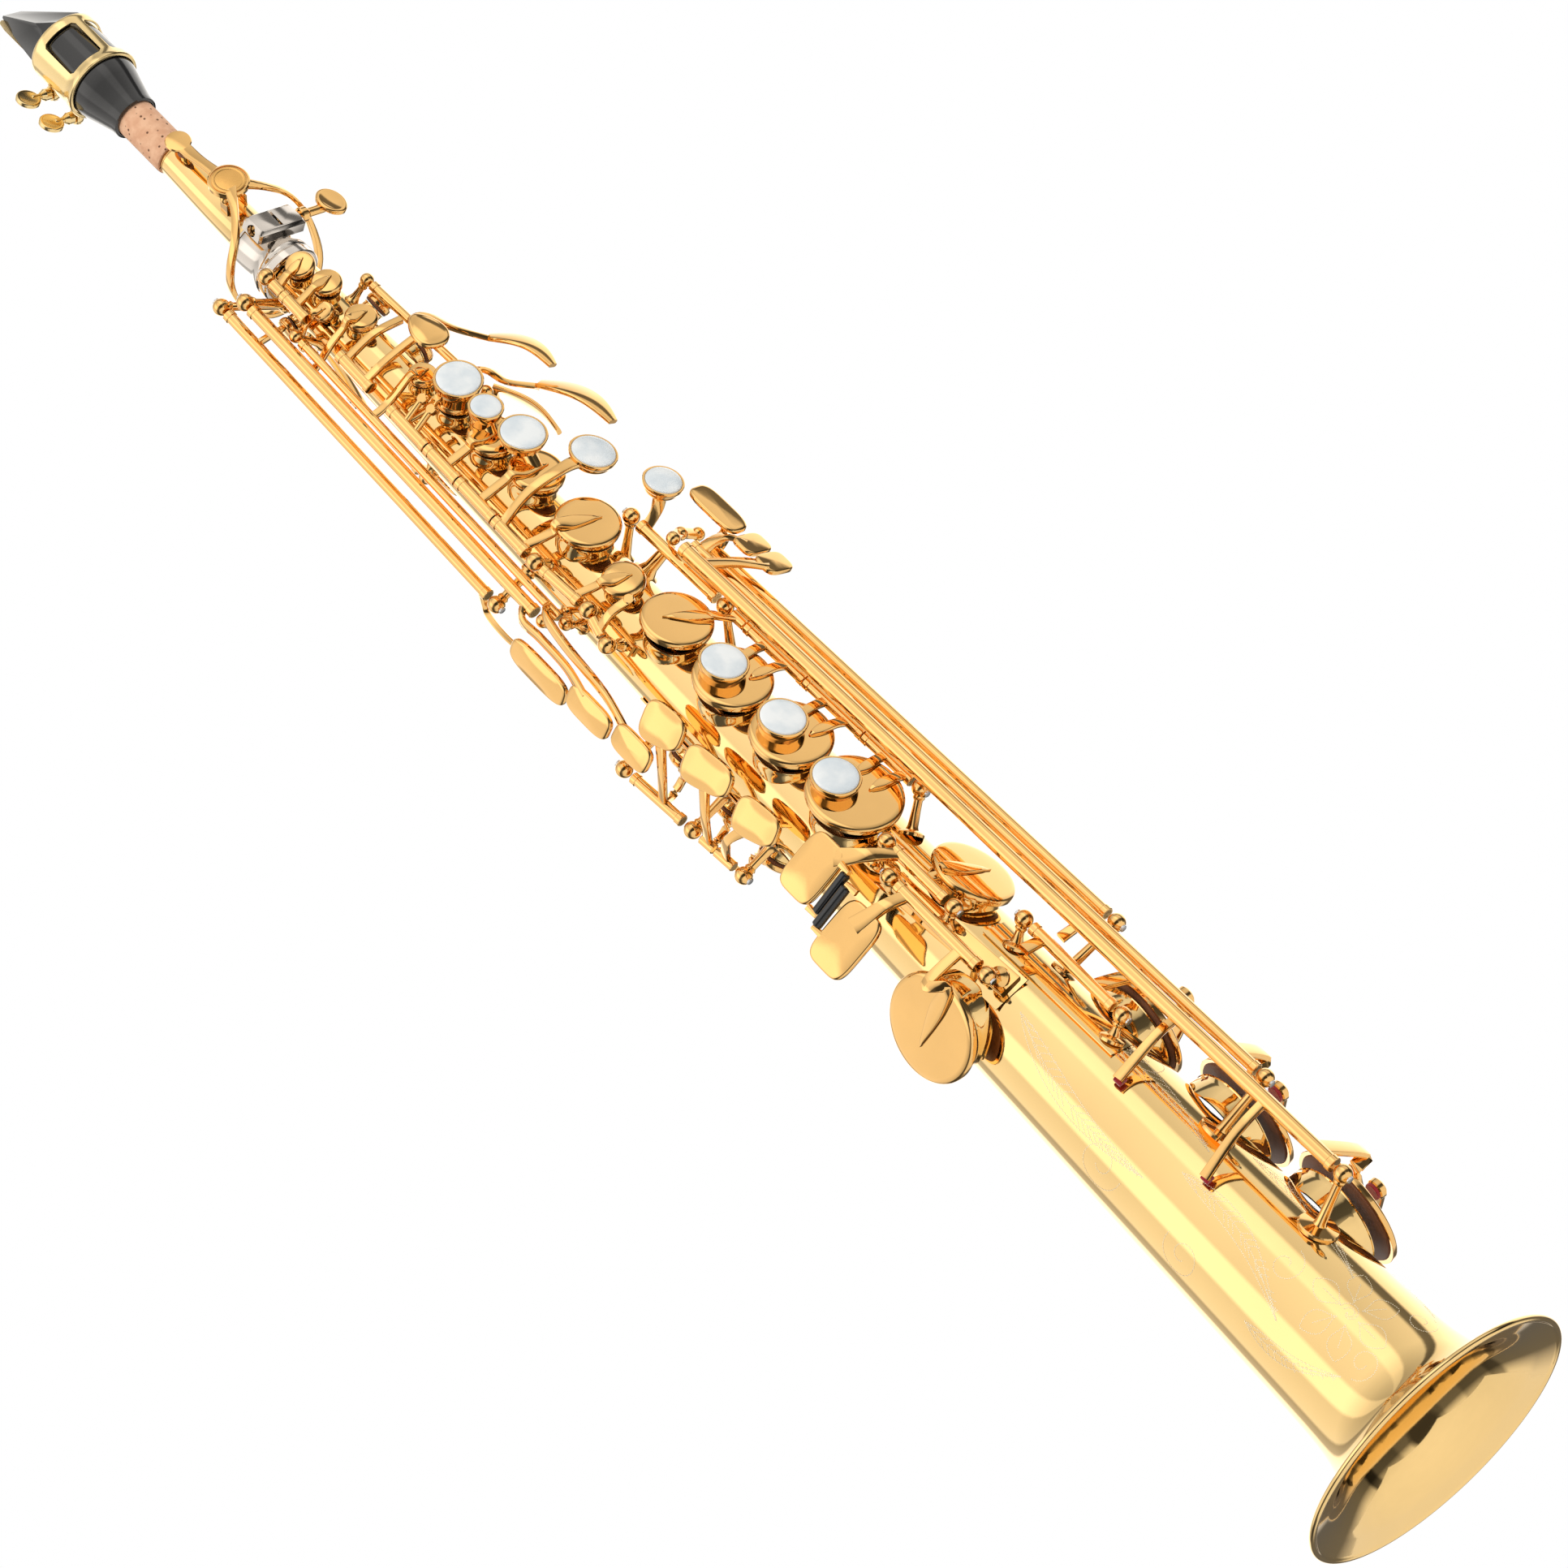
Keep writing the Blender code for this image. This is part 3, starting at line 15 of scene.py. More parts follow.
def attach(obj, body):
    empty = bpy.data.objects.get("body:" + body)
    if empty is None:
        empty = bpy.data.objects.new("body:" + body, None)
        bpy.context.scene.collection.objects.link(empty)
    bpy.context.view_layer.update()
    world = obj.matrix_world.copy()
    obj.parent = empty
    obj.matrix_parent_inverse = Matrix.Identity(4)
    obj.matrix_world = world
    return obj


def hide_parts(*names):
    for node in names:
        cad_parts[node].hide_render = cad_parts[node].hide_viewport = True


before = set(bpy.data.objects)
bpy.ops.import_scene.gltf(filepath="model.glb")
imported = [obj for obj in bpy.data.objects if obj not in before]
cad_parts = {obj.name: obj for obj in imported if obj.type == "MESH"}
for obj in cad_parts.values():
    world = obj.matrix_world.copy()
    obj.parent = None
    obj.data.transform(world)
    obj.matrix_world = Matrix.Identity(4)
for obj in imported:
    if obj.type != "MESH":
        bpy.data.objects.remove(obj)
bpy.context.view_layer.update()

MM = 0.001
UP = Vector((0.0, 0.0, 1.0))

# Body and neck, in millimetres.
BODY_TOP = 543.0
CONE_TOP = 591.0
CONE_TOP_RADIUS = 6.3
TAPER = 0.0334
FLARE = 21.0
FLARE_LENGTH = 6.4
WALL = 1.1
RIM_BEAD = 1.1
CHIMNEY_HEIGHT = 2.8
CHIMNEY_WALL = 0.8
PAD_GAP = 0.35
CLEARANCE = 0.35
CUP_THICKNESS = 3.4
BALL_RADIUS = 2.9
SMALL_BALL_RADIUS = 2.3
PALM_TWIST = 32.0
VENT_LIFT = 1.2
STACK_LIFT = 1.8
LOW_STACK_LIFT = 2.6
THUMB_SIDE = 178.0
GUARD_SIDE = 150.0
BELL_KEY_SIDE = 90.0
PEARL_RADIUS = 7.2
PEARL_THICKNESS = 1.6
RECEIVER_TOP = 563.0
NECK_TOP = 634.5
CORK_BOTTOM = 607.0
MOUTHPIECE_BOTTOM = 628.0
MOUTHPIECE_TOP = 695.0
MOUTHPIECE_TURN = 20.0
LIGATURE_SCREWS = (650.6, 663.6)
LUG_REACH = 15.4

# Shading, in degrees: creases sharper than the first stay sharp, edges past the second are eased.
CREASE = 34.0
EASED_ANGLE = 40.0

Hole = namedtuple("Hole", "height angle cup")
HOLES = {
    "high_vent": Hole(536.0, -7.0, 4.9),
    "high_e": Hole(528.0, -95.0, 3.8),
    "b_vent": Hole(524.7, 2.0, 5.1),
    "octave_vent": Hole(517.5, -27.0, 3.4),
    "palm_f": Hole(514.0, 68.0, 4.6),
    "side_c": Hole(507.0, 3.0, 5.4),
    "palm_e_flat": Hole(494.0, 88.0, 5.0),
    "palm_d": Hole(472.0, 100.0, 5.4),
    "side_b_flat": Hole(476.0, 6.0, 4.8),
    "b": Hole(461.0, 12.0, 6.6),
    "bis": Hole(441.5, 10.0, 8.2),
    "a": Hole(422.0, 17.0, 9.2),
    "g": Hole(395.4, 14.0, 10.6),
    "g_sharp": Hole(372.0, -2.0, 7.0),
    "f_sharp": Hole(348.0, 3.0, 11.6),
    "f": Hole(319.8, 0.0, 12.7),
    "high_f_sharp": Hole(326.0, -142.0, 6.0),
    "fork_f_sharp": Hole(303.0, -142.0, 6.2),
    "high_g": Hole(281.0, -142.0, 6.4),
    "e": Hole(292.3, 1.0, 13.2),
    "d": Hole(263.0, 2.0, 15.3),
    "e_flat": Hole(221.7, 33.0, 13.8),
    "low_c": Hole(193.0, -76.0, 17.3),
    "low_c_sharp": Hole(158.6, 88.0, 18.0),
    "low_b": Hole(116.4, 88.0, 19.8),
    "low_b_flat": Hole(73.6, 88.0, 20.4),
}


def place(height, angle, reach):
    """Point at a height, an angle from the front and a distance from the axis."""
    turn = radians(angle)
    return Vector((reach * sin(turn), -reach * cos(turn), height))


def outward(angle):
    """Unit vector pointing away from the bore."""
    return place(0.0, angle, 1.0)


def angle_of(point):
    """Angle of a point from the front."""
    return degrees(atan2(point.x, -point.y))


def body_radius(height):
    """Outer radius of the conical body and its bell flare."""
    return CONE_TOP_RADIUS + TAPER * (CONE_TOP - height) + FLARE * exp(-max(height, 0.0) / FLARE_LENGTH)


def seat(hole):
    """Distance from the axis to a chimney's rim."""
    return body_radius(hole.height) + CHIMNEY_HEIGHT


def hole_radius(hole):
    """Bore of a tone hole."""
    return 0.84 * hole.cup - 0.6


# --- shells: (points, faces) in millimetres, several of which make one piece ---

def facing(origin, direction, upright=UP):
    """Matrix that takes Z to a direction and keeps Y as near upright as it can."""
    axis_z = direction.normalized()
    axis_x = upright.cross(axis_z)
    if axis_x.length < 0.01:
        axis_x = Vector((1, 0, 0))
    axis_x.normalize()
    matrix = Matrix((axis_x, axis_z.cross(axis_x), axis_z)).transposed().to_4x4()
    matrix.translation = origin
    return matrix


def moved(shell, matrix):
    """The same shell after a transform."""
    return [matrix @ point for point in shell[0]], shell[1]


def lathe(profile, steps=40, closed=False):
    """Surface of revolution about Z through (radius, height) points."""
    points, rings = [], []
    for radius, height in profile:
        count = 1 if radius < 1e-6 else steps
        rings.append(list(range(len(points), len(points) + count)))
        for step in range(count):
            turn = 2 * pi * step / steps
            points.append(Vector((radius * cos(turn), radius * sin(turn), height)))
    if closed:
        rings.append(rings[0])
    return points, bands(rings, steps)


def bands(rings, steps):
    """Faces between neighbouring rings of point numbers."""
    faces = []
    for low, high in zip(rings, rings[1:]):
        for index in range(steps):
            follow = (index + 1) % steps
            corners = [low[index % len(low)], low[follow % len(low)],
                       high[follow % len(high)], high[index % len(high)]]
            face = [number for spot, number in enumerate(corners) if number not in corners[:spot]]
            if len(face) > 2:
                faces.append(face)
    return faces


def loft(loops):
    """Closed skin through loops with the same number of points."""
    count = len(loops[0])
    points = [point for loop in loops for point in loop]
    rings = [list(range(row * count, row * count + count)) for row in range(len(loops))]
    return points, bands(rings, count) + [rings[0][::-1], rings[-1]]


def spline(points, steps=6):
    """Smooth run of points through the given ones."""
    run = []
    for index in range(len(points) - 1):
        before = points[max(index - 1, 0)]
        start, end = points[index], points[index + 1]
        after = points[min(index + 2, len(points) - 1)]
        for step in range(steps):
            share = step / steps
            square, cube = share * share, share ** 3
            run.append(0.5 * ((2 * start) + (end - before) * share
                              + (2 * before - 5 * start + 4 * end - after) * square
                              + (3 * start - before - 3 * end + after) * cube))
    return run + [points[-1]]


def bar(points, widths, thickness, up=None, steps=6, round_off=0.34):
    """Bar with eased edges swept smoothly along points, broad side away from the bore."""
    rows = [Vector((*point, width)) for point, width in zip(points, widths)]
    rows = spline([Vector(row) for row in rows], steps) if len(rows) > 2 else \
        [rows[0].lerp(rows[1], step / steps) for step in range(steps + 1)]
    loops = []
    for index, row in enumerate(rows):
        point, half = row.xyz, max(row.w / 2, 0.12)
        tangent = (rows[min(index + 1, len(rows) - 1)].xyz - rows[max(index - 1, 0)].xyz).normalized()
        rise = up if up else Vector((point.x, point.y, 0.0)).normalized()
        side = tangent.cross(rise).normalized()
        lift = side.cross(tangent).normalized()
        deep = thickness / 2 * (1.0 if row.w > 1.2 else 0.55)
        ease = min(round_off, half * 0.5, deep * 0.7)
        corners = [(half, deep - ease), (half - ease * 0.3, deep - ease * 0.3), (half - ease, deep)]
        outline = corners + [(-x, y) for x, y in reversed(corners)]
        outline += [(-x, -y) for x, y in corners] + [(x, -y) for x, y in reversed(corners)]
        loops.append([point + side * x + lift * y for x, y in outline])
    return loft(loops)


def rod(start, end, radius, end_radius=None, steps=24, ease=0.25):
    """Round rod or cone with eased ends between two points."""
    length = (end - start).length
    far = radius if end_radius is None else end_radius
    ease = min(ease, radius * 0.4, length * 0.2)
    profile = [(0, 0), (radius - ease, 0), (radius, ease), (far, length - ease), (far - ease, length),
               (0, length)]
    return moved(lathe(profile, steps), facing(start, end - start))


def turned_on(profile, origin, direction, steps=40):
    """Lathe work standing on a point."""
    return moved(lathe(profile, steps), facing(origin, direction))


def ball(centre, radius, steps=24, rings=12):
    """Polished ball."""
    profile = [(radius * sin(pi * ring / rings),
                -radius * cos(pi * ring / rings)) for ring in range(rings + 1)]
    return moved(lathe(profile, steps), Matrix.Translation(centre))


def block(origin, direction, size, upright=UP, ease=0.4):
    """Block with eased edges whose third size runs along the direction."""
    width, height, depth = size
    rows = ((0.0, ease), (ease, 0.0), (depth - ease, 0.0), (depth, ease))
    frame_at = facing(origin, direction, upright)
    loops = []
    for level, inset in rows:
        x, y, cut = width / 2 - inset, height / 2 - inset, ease * 0.8
        outline = [(x, y - cut), (x - cut, y), (cut - x, y), (-x, y - cut),
                   (-x, cut - y), (cut - x, -y), (x - cut, -y), (x, cut - y)]
        loops.append([frame_at @ Vector((*corner, level)) for corner in outline])
    return loft(loops)


def oval(width, height, steps=40, power=1.0):
    """Outline of an ellipse, squarer as the power falls below one."""
    outline = []
    for step in range(steps):
        turn = 2 * pi * step / steps
        across = abs(cos(turn)) ** power * (1 if cos(turn) >= 0 else -1)
        along = abs(sin(turn)) ** power * (1 if sin(turn) >= 0 else -1)
        outline.append((across * width / 2, along * height / 2))
    return outline


def slab(outline, matrix, thickness, crown=0.0, dish=0.0):
    """Plate of an outline with rounded edges; a dish hollows or domes its top."""
    reach = min(max(x for x, _ in outline), max(y for _, y in outline))
    ease = max(crown, 0.25)
    rows = [(1.0 - 0.25 / reach, 0.0), (1.0, 0.25), (1.0, thickness - ease)]
    for step in range(1, 5):
        turn = pi / 2 * step / 4
        rows.append((1.0 - ease * (1 - cos(turn)) / reach, thickness - ease * (1 - sin(turn))))
    start = rows[-1][0]
    for share in (0.85, 0.6, 0.35, 0.12):
        rows.append((start * share, thickness - dish * (1 - share * share)))
    loops = [[matrix @ Vector((x * scale, y * scale, level)) for x, y in outline] for scale,
             level in rows]
    return loft(loops)


def ring(centre, direction, radius, thick, steps=40, sides=12):
    """Torus about a direction."""
    profile = [(radius + thick * cos(2 * pi * side / sides), thick * sin(2 * pi * side / sides))
               for side in range(sides)]
    return moved(lathe(profile, steps, True), facing(centre, direction))


# --- materials ---

def shade(name, colour, roughness, metallic=0.0, vary=0.12, scale=40.0, rough_vary=0.06, bump=0.02,
          bump_scale=900.0, coat=0.0, sheen=0.0, stretch=(1, 1, 1), second=None):
    """Principled material whose colour, roughness and fine relief come from noise."""
    made = bpy.data.materials.new(name)
    made.use_nodes = True
    nodes, links = made.node_tree.nodes, made.node_tree.links
    shader = nodes["Principled BSDF"]
    place_on = nodes.new("ShaderNodeTexCoord")
    mapping = nodes.new("ShaderNodeMapping")
    mapping.inputs["Scale"].default_value = stretch
    links.new(place_on.outputs["Object"], mapping.inputs["Vector"])
    cloud = nodes.new("ShaderNodeTexNoise")
    cloud.inputs["Scale"].default_value = scale
    cloud.inputs["Detail"].default_value = 5.0
    links.new(mapping.outputs["Vector"], cloud.inputs["Vector"])
    ramp = nodes.new("ShaderNodeValToRGB")
    dark = second or tuple(channel * (1 - vary) for channel in colour)
    ramp.color_ramp.elements[0].position = 0.35
    ramp.color_ramp.elements[0].color = (*dark, 1)
    ramp.color_ramp.elements[1].position = 0.62
    ramp.color_ramp.elements[1].color = (*colour, 1)
    links.new(cloud.outputs["Fac"], ramp.inputs["Fac"])
    links.new(ramp.outputs["Color"], shader.inputs["Base Color"])
    spread = nodes.new("ShaderNodeMapRange")
    spread.inputs["To Min"].default_value = max(roughness - rough_vary, 0.02)
    spread.inputs["To Max"].default_value = roughness + rough_vary
    links.new(cloud.outputs["Fac"], spread.inputs["Value"])
    links.new(spread.outputs["Result"], shader.inputs["Roughness"])
    fine = nodes.new("ShaderNodeTexNoise")
    fine.inputs["Scale"].default_value = bump_scale
    fine.inputs["Detail"].default_value = 3.0
    links.new(mapping.outputs["Vector"], fine.inputs["Vector"])
    relief = nodes.new("ShaderNodeBump")
    relief.inputs["Strength"].default_value = bump
    relief.inputs["Distance"].default_value = 0.0002
    links.new(fine.outputs["Fac"], relief.inputs["Height"])
    links.new(relief.outputs["Normal"], shader.inputs["Normal"])
    shader.inputs["Metallic"].default_value = metallic
    shader.inputs["Coat Weight"].default_value = coat
    shader.inputs["Coat Roughness"].default_value = 0.04
    shader.inputs["Sheen Weight"].default_value = sheen
    return made


# Sockets of a colour Mix node.
MIX_FIRST, MIX_SECOND, MIX_RESULT = 6, 7, 2


def colour_mix(nodes):
    """New Mix node for colours."""
    made = nodes.new("ShaderNodeMix")
    made.data_type = "RGBA"
    return made


def speckled(made, colour, scale, size):
    """Add dark pores of a colour to a material."""
    nodes, links = made.node_tree.nodes, made.node_tree.links
    shader = nodes["Principled BSDF"]
    pores = nodes.new("ShaderNodeTexVoronoi")
    pores.inputs["Scale"].default_value = scale
    links.new(nodes["Mapping"].outputs["Vector"], pores.inputs["Vector"])
    edge = nodes.new("ShaderNodeMapRange")
    edge.inputs["From Min"].default_value = size * 0.6
    edge.inputs["From Max"].default_value = size
    links.new(pores.outputs["Distance"], edge.inputs["Value"])
    mix = colour_mix(nodes)
    mix.inputs[MIX_FIRST].default_value = (*colour, 1)
    links.new(edge.outputs["Result"], mix.inputs["Factor"])
    links.new(nodes["Color Ramp"].outputs["Color"], mix.inputs[MIX_SECOND])
    links.new(mix.outputs[MIX_RESULT], shader.inputs["Base Color"])
    return made


BODY_BRASS = shade("body_brass", (0.95, 0.66, 0.28), 0.06, 1.0, 0.05, 22.0, 0.02, 0.015, coat=0.35)
KEY_BRASS = shade("key_brass", (0.95, 0.57, 0.20), 0.045, 1.0, 0.07, 45.0, 0.015, 0.02, coat=0.35)
CUT_BRASS = shade("engraved_brass", (1.0, 0.90, 0.66), 0.42, 0.35, 0.10, 300.0, 0.08, 0.25)
GILT = shade("gilt", (0.93, 0.70, 0.34), 0.14, 1.0, 0.08, 60.0, 0.04, 0.03, coat=0.2)
MEDAL = shade("medallion", (0.92, 0.52, 0.16), 0.28, 1.0, 0.12, 80.0, 0.06, 0.1)
NICKEL = shade("nickel_silver_finish", (0.78, 0.72, 0.66), 0.13, 1.0, 0.08, 60.0, 0.04, 0.02)
STEEL = shade("screw_steel", (0.62, 0.62, 0.63), 0.2, 1.0, 0.15, 120.0, 0.06, 0.04)
EBONITE = shade("polished_ebonite", (0.008, 0.008, 0.009), 0.12, 0.0, 0.3, 60.0, 0.04, 0.02, coat=0.5)
ROLLER = shade("roller_black", (0.010, 0.011, 0.013), 0.22, 0.0, 0.3, 60.0, 0.05, 0.03, coat=0.3)
CANE = shade("cane_fibre", (0.80, 0.63, 0.35), 0.5, 0.0, 0.2, 260.0, 0.08, 0.25, 1400.0,
             stretch=(3.0, 3.0, 0.16), second=(0.66, 0.47, 0.22))
CORK = speckled(shade("cork_grain", (0.86, 0.52, 0.33), 0.78, 0.0, 0.2, 330.0, 0.08, 0.6, 900.0,
                      second=(0.74, 0.40, 0.24)), (0.16, 0.07, 0.035), 420.0, 0.22)
PEARL = shade("mother_of_pearl", (0.90, 0.93, 0.94), 0.16, 0.0, 0.1, 120.0, 0.05, 0.03, 300.0, coat=0.6,
              second=(0.70, 0.77, 0.82))
LEATHER = shade("pad_leather", (0.22, 0.085, 0.04), 0.55, 0.0, 0.3, 160.0, 0.1, 0.5, 1500.0, sheen=0.1)
FELT = shade("red_felt", (0.42, 0.012, 0.03), 0.9, 0.0, 0.35, 500.0, 0.05, 0.9, 2600.0, sheen=0.6)


# --- pieces ---

def mesh_of(name, shells, matrix):
    """Mesh of transformed shells with their faces turned outwards."""
    points, faces = [], []
    for shell in shells:
        offset = len(points)
        points += shell[0]
        faces += [[offset + number for number in face] for face in shell[1]]
    mesh = bpy.data.meshes.new(name)
    mesh.from_pydata([tuple(matrix @ point) for point in points], [], faces)
    surface = bmesh.new()
    surface.from_mesh(mesh)
    bmesh.ops.recalc_face_normals(surface, faces=surface.faces)
    surface.to_mesh(mesh)
    surface.free()
    return mesh


def piece(name, shells, finish, body="body", replaced=(), rest=None):
    """Object made of shells, riding on a body, turned to the angle at which it rests."""
    matrix = Matrix.Scale(MM, 4) @ (rest or Matrix.Identity(4))
    finished(name, mesh_of(name, shells, matrix), finish, body, replaced)


def finished(name, mesh, finish, body, replaced):
    """Object of a mesh, shaded smooth between creases, coloured and declared to the frame."""
    mesh.materials.clear()
    mesh.materials.append(finish)
    mesh.shade_smooth()
    mesh.set_sharp_from_angle(angle=radians(CREASE))
    made = bpy.data.objects.new(name, mesh)
    bpy.context.collection.objects.link(made)
    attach(made, body)
    if replaced:
        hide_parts(*replaced)


def scratch(shells):
    """Temporary object of shells, in millimetres."""
    made = bpy.data.objects.new("scratch", mesh_of("scratch", shells, Matrix.Identity(4)))
    bpy.context.collection.objects.link(made)
    return made


def carved(base, joined, cutters, ease=0.0):
    """Mesh in metres of base shells joined with others, less the cutters, with eased edges."""
    whole = scratch(base)
    helpers = []
    work = [(shell, "UNION") for shell in joined] + [(shell, "DIFFERENCE") for shell in cutters]
    for shell, operation in work:
        helper = scratch([shell])
        helpers.append(helper)
        boolean = whole.modifiers.new("work", "BOOLEAN")
        boolean.operation = operation
        boolean.solver = "EXACT"
        boolean.object = helper
    if ease:
        bevel = whole.modifiers.new("ease", "BEVEL")
        bevel.width = ease
        bevel.segments = 3
        bevel.limit_method = "ANGLE"
        bevel.angle_limit = radians(EASED_ANGLE)
    evaluated = whole.evaluated_get(bpy.context.evaluated_depsgraph_get())
    mesh = bpy.data.meshes.new_from_object(evaluated)
    for used in helpers + [whole]:
        old = used.data
        bpy.data.objects.remove(used)
        bpy.data.meshes.remove(old)
    mesh.transform(Matrix.Scale(MM, 4))
    return mesh


# --- rods and posts ---

Rod = namedtuple("Rod", "top bottom radius")
LEFT_STACK = Rod(place(539.0, -43.0, 18.6), place(396.2, -46.5, 22.4), 2.0)
LINK_UPPER = Rod(place(396.2, -46.5, 22.4), place(371.2, -43.0, 22.2), 1.8)
LINK_LOWER = Rod(place(371.2, -43.0, 22.2), place(357.8, -51.0, 23.6), 1.8)
SIDE_E = Rod(place(549.2, -97.0, 24.0), place(404.5, -108.0, 26.2), 1.9)
SIDE_C = Rod(place(540.0, -74.0, 21.6), place(384.4, -84.0, 22.4), 2.1)
SIDE_B_FLAT = Rod(place(518.5, -68.0, 18.0), place(377.5, -74.0, 19.6), 1.5)
TRILL = Rod(place(333.6, -113.0, 33.1), place(279.6, -113.0, 29.6), 1.8)
G_SHARP = Rod(place(390.8, 46.0, 24.2), place(344.4, 41.5, 26.0), 2.0)
RIGHT_STACK = Rod(place(344.4, 41.5, 26.0), place(254.2, 42.0, 29.2), 2.0)
B_FLAT = Rod(place(369.5, 36.5, 31.0), place(68.2, 27.5, 43.3), 2.3)
B_LOW = Rod(place(373.0, 52.0, 30.8), place(107.9, 37.0, 43.2), 1.9)
C_SHARP_LEVER = Rod(place(372.0, 64.0, 33.8), place(179.0, 50.0, 41.2), 1.9)
C_SHARP = Rod(place(197.8, 26.0, 27.2), place(154.0, 26.0, 27.8), 1.9)
E_FLAT = Rod(place(243.6, -6.2, 25.8), place(212.6, -6.1, 26.9), 1.9)
LOW_C = Rod(place(233.5, -22.2, 27.2), place(188.3, -21.7, 28.7), 2.1)
PALM = Rod(place(519.5, 46.0, 17.3), place(459.5, 46.0, 19.2), 1.5)
PALM_LOW = Rod(place(489.0, 128.0, 16.6), place(456.0, 128.0, 17.6), 1.5)
OCTAVE = Rod(place(527.0, -150.0, 15.2), place(462.0, -150.0, 17.5), 1.5)


def on_rod(hinge, height):
    """Point of a rod's centre line at a height."""
    share = (hinge.top.z - height) / (hinge.top.z - hinge.bottom.z)
    return hinge.top.lerp(hinge.bottom, share)


def post(top, foot, radius=BALL_RADIUS, sink=0.3, foot_radius=3.0):
    """Turned pillar with a flared foot and a ball."""
    height, angle = foot
    base = place(height, angle, body_radius(height) - sink)
    length = (top - base).length - radius * 0.75
    waist = radius * 0.5
    profile = [(0, -0.4), (foot_radius, -0.4), (foot_radius, 0.5), (foot_radius - 0.4, 0.9),
               (waist + 0.7, 1.5), (waist + 0.25, 2.6)]
    if length > 5.0:
        profile += [(waist, length * 0.6), (waist - 0.05, length - 1.6)]
    profile += [(waist + 0.45, length - 0.9), (waist + 0.5, length - 0.5), (waist + 0.1, length)]
    return [turned_on(profile + [(0, length)], base, top - base, 28), ball(top, radius, 28, 16)]


def rod_end(hinge, at_top=True, radius=BALL_RADIUS):
    """Slotted screw head that shows on a post's outer side."""
    along = (hinge.top - hinge.bottom).normalized() * (1 if at_top else -1)
    centre = (hinge.top if at_top else hinge.bottom) + along * (radius - 0.35)
    return [turned_on([(0, 0), (radius * 0.42, 0), (radius * 0.42, 0.5), (radius * 0.36, 0.65), (0, 0.7)],
                      centre, along, 20)]


def tube(hinge, top, bottom):
    """Hinge tube with a slightly proud sleeve at both ends."""
    high, low = on_rod(hinge, top), on_rod(hinge, bottom)
    shells = [rod(high, low, hinge.radius, ease=0.3)]
    along = (low - high).normalized()
    if (low - high).length > 9.0:
        sleeve = hinge.radius + 0.28
        shells.append(rod(high, high + along * 2.2, sleeve, ease=0.2))
        shells.append(rod(low - along * 2.2, low, sleeve, ease=0.2))
    return shells


# --- key parts ---

def key_frame(hole):
    """Matrix standing on a closed pad's face."""
    return facing(place(hole.height, hole.angle, seat(hole) + PAD_GAP), outward(hole.angle))


def cup(hole):
    """Domed key cup with its rolled edge."""
    r, top = hole.cup, CUP_THICKNESS
    profile = [(0, 1.6), (r * 0.90, 1.6), (r * 0.93, 0.85), (r - 0.12, 0.8), (r, 0.95), (r, top - 1.25),
               (r - 0.12, top - 0.95), (r - 0.4, top - 0.66), (r - 0.8, top - 0.45),
               (r * 0.86, top - 0.3),
               (r * 0.7, top - 0.12), (r * 0.5, top - 0.02), (r * 0.25, top + 0.04), (0, top + 0.06)]
    return moved(lathe(profile, 64 if r > 9 else 44), key_frame(hole))


def pad(hole):
    """Leather pad with its resonator, under the cup."""
    r = hole.cup
    profile = [(0, 0.05), (r * 0.72, 0.0), (r * 0.86, 0.08), (r * 0.915, 0.35), (r * 0.93, 0.8),
               (r * 0.9, 1.5),
               (0, 1.5)]
    return moved(lathe(profile, 48), key_frame(hole))


def cup_top(hole):
    """Centre of a key cup's outer face."""
    return place(hole.height, hole.angle, seat(hole) + PAD_GAP + CUP_THICKNESS)


def leaf(points, hole, width=3.0, thickness=1.7, toward=None):
    """Arm that reaches a cup, widens like a leaf on it and ends in a point."""
    normal = outward(hole.angle)
    middle = cup_top(hole) + normal * 0.15
    away = toward or (middle - points[-1])
    away = (away - normal * away.dot(normal)).normalized()
    reach = hole.cup
    path = list(points) + [middle - away * reach * 1.02 + normal * 0.5,
                           middle - away * reach * 0.55 + normal * 0.1,
                           middle - away * reach * 0.1, middle + away * reach * 0.42]
    wide = min(width * 1.5, reach * 0.62)
    widths = [width] * len(points) + [width * 0.95, wide, wide * 0.7, 0.25]
    return bar(path, widths, thickness)


def turn_about(hinge, angle):
    """Matrix of a turn about a rod, in degrees."""
    axis = (hinge.bottom - hinge.top).normalized()
    there = Matrix.Translation(hinge.top)
    return there @ Matrix.Rotation(radians(angle), 4, axis) @ there.inverted()


def rest_turn(hinge, target, lift):
    """Turn that holds a key open by its lift at the target."""
    point = cup_top(target) if isinstance(target, Hole) else target[0]
    away = outward(target.angle) if isinstance(target, Hole) else target[1]
    nearest = on_rod(hinge, point.z)
    axis = (hinge.bottom - hinge.top).normalized()
    sign = 1.0 if axis.cross(point - hinge.top).dot(away) > 0 else -1.0
    return turn_about(hinge, sign * degrees(lift / (point - nearest).length))


def key(name, hinge, shells, target, lift, stands_open=True, extras=()):
    """Key metal with its pad and trimmings, at its rest angle."""
    rest = rest_turn(hinge, target, lift) if stands_open else Matrix.Identity(4)
    piece(name + "_metal", shells, KEY_BRASS, name, (name,), rest)
    if isinstance(target, Hole):
        piece(name + "_pad", [pad(target)], LEATHER, name, (), rest)
    for extra_name, extra_shells, finish, replaced in extras:
        piece(extra_name, extra_shells, finish, name, replaced, rest)
    return rest


